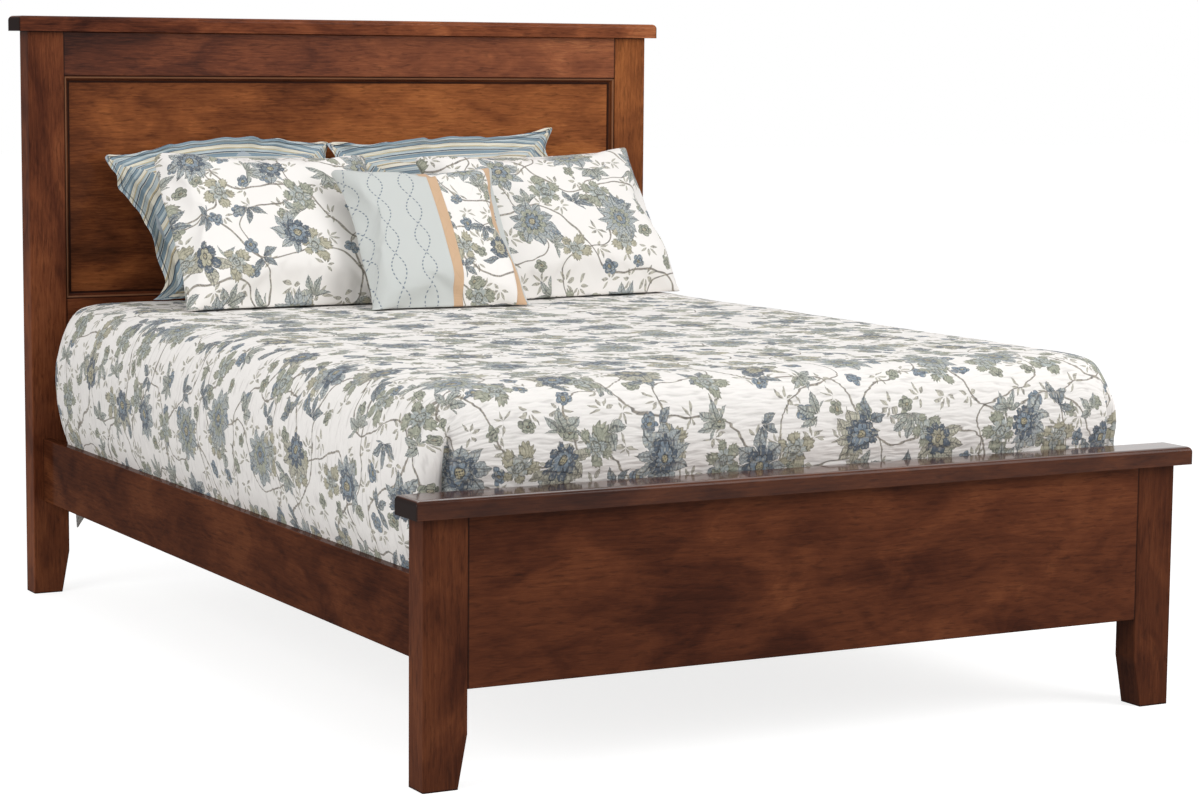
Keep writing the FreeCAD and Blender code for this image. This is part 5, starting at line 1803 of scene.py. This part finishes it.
def main() -> None:
    """Builds every piece in order."""
    logging.basicConfig(level=logging.INFO, format="%(name)s: %(message)s")
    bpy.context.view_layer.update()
    grain, weave = make_wood_grain(), make_weave()
    vine_print = VinePrint(make_scatter(), make_blades(), make_rosette()).build()
    Woodwork(grain).build()
    ticking = Ticking("ticking", weave).build()
    Upholstered("box_spring", ticking, round=12 * MM, corner=60 * MM).build()
    Upholstered("mattress", ticking, round=66 * MM, corner=150 * MM).build()
    coverlet = Coverlet(QuiltedPrint("quilted_print", weave, vine_print).build()).build()
    log.info("%s spread over mattress and box spring", coverlet.name)
    make_pillows(vine_print, weave)
    Studio().build()


def make_pillows(vine_print: Effect, weave: Effect) -> None:
    """Builds the five pillows from the back row to the front one.

    Args:
        vine_print: the printed pattern.
        weave: the weave of their cotton.
    """
    headboard = [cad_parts[name] for name in (
        "headboard_cap", "headboard_top_rail", "headboard_panel", "headboard_low_rail", "panel_moulding_top",
        "panel_moulding_bottom", "panel_moulding_left", "panel_moulding_right")]
    gathered = ((-1.0, 0.08), (-0.86, 0.082), (-0.7, 0.108), (-0.25, 0.075), (0.1, 0.055), (0.5, 0.012),
                (1.0, 0.0))
    tucked = ((0.4, 0.0), (0.8, 0.012), (1.0, 0.024))
    striped = {"slot": "striped_cotton", "width": 0.61, "height": 0.422, "thick": 0.138, "lean": 16,
               "turn": 0, "front": Stripes("striped_cotton", weave).build(),
               "back": PlainCotton("blue_backing", weave, (0.42, 0.47, 0.52)).build(),
               "leans_on": headboard, "flange": 0.045, "ear": 0.012, "draw": 0.07}
    shams = [
        Pillow("striped_sham_left", roll=3.2, pinch=gathered, arch=0.06, narrow=(0.06, 0.05), shift=0.011,
               seed=1.0, **striped).build(),
        Pillow("striped_sham_right", roll=3.0, arch=0.03, shift=-0.016, seed=7.0, **striped).build()]
    printed = {"slot": "printed_cotton", "width": 0.6, "height": 0.455, "thick": 0.15, "lean": 41,
               "leans_on": [*shams, *headboard]}
    cloths = [SmoothPrint(f"printed_cotton_{side}", weave, vine_print, (3.0 + seed, 1.3)).build()
              for side, seed in (("left", 3.0), ("right", 5.0))]
    florals = [
        Pillow("floral_sham_left", turn=4.7, roll=-1.5, front=cloths[0], back=cloths[0], pinch=tucked,
               narrow=(0.075, 0.0), shift=-0.008, seed=3.0, **printed).build(),
        Pillow("floral_sham_right", turn=7.0, roll=1.5, front=cloths[1], back=cloths[1], narrow=(0.0, -0.17),
               shift=0.011, seed=5.0, **printed).build()]
    width = 0.421
    Pillow("accent_pillow", "pieced_cotton", width=width, height=0.412, thick=0.118, lean=39, turn=-2.5,
           roll=0, front=PiecedCotton("pieced_cotton", weave, vine_print, width / 2).build(),
           back=PlainCotton("grey_backing", weave, (0.5, 0.52, 0.5)).build(),
           leans_on=florals, shift=0.02, seed=11.0, fill=0.65).build()


if __name__ == "__main__":
    main()
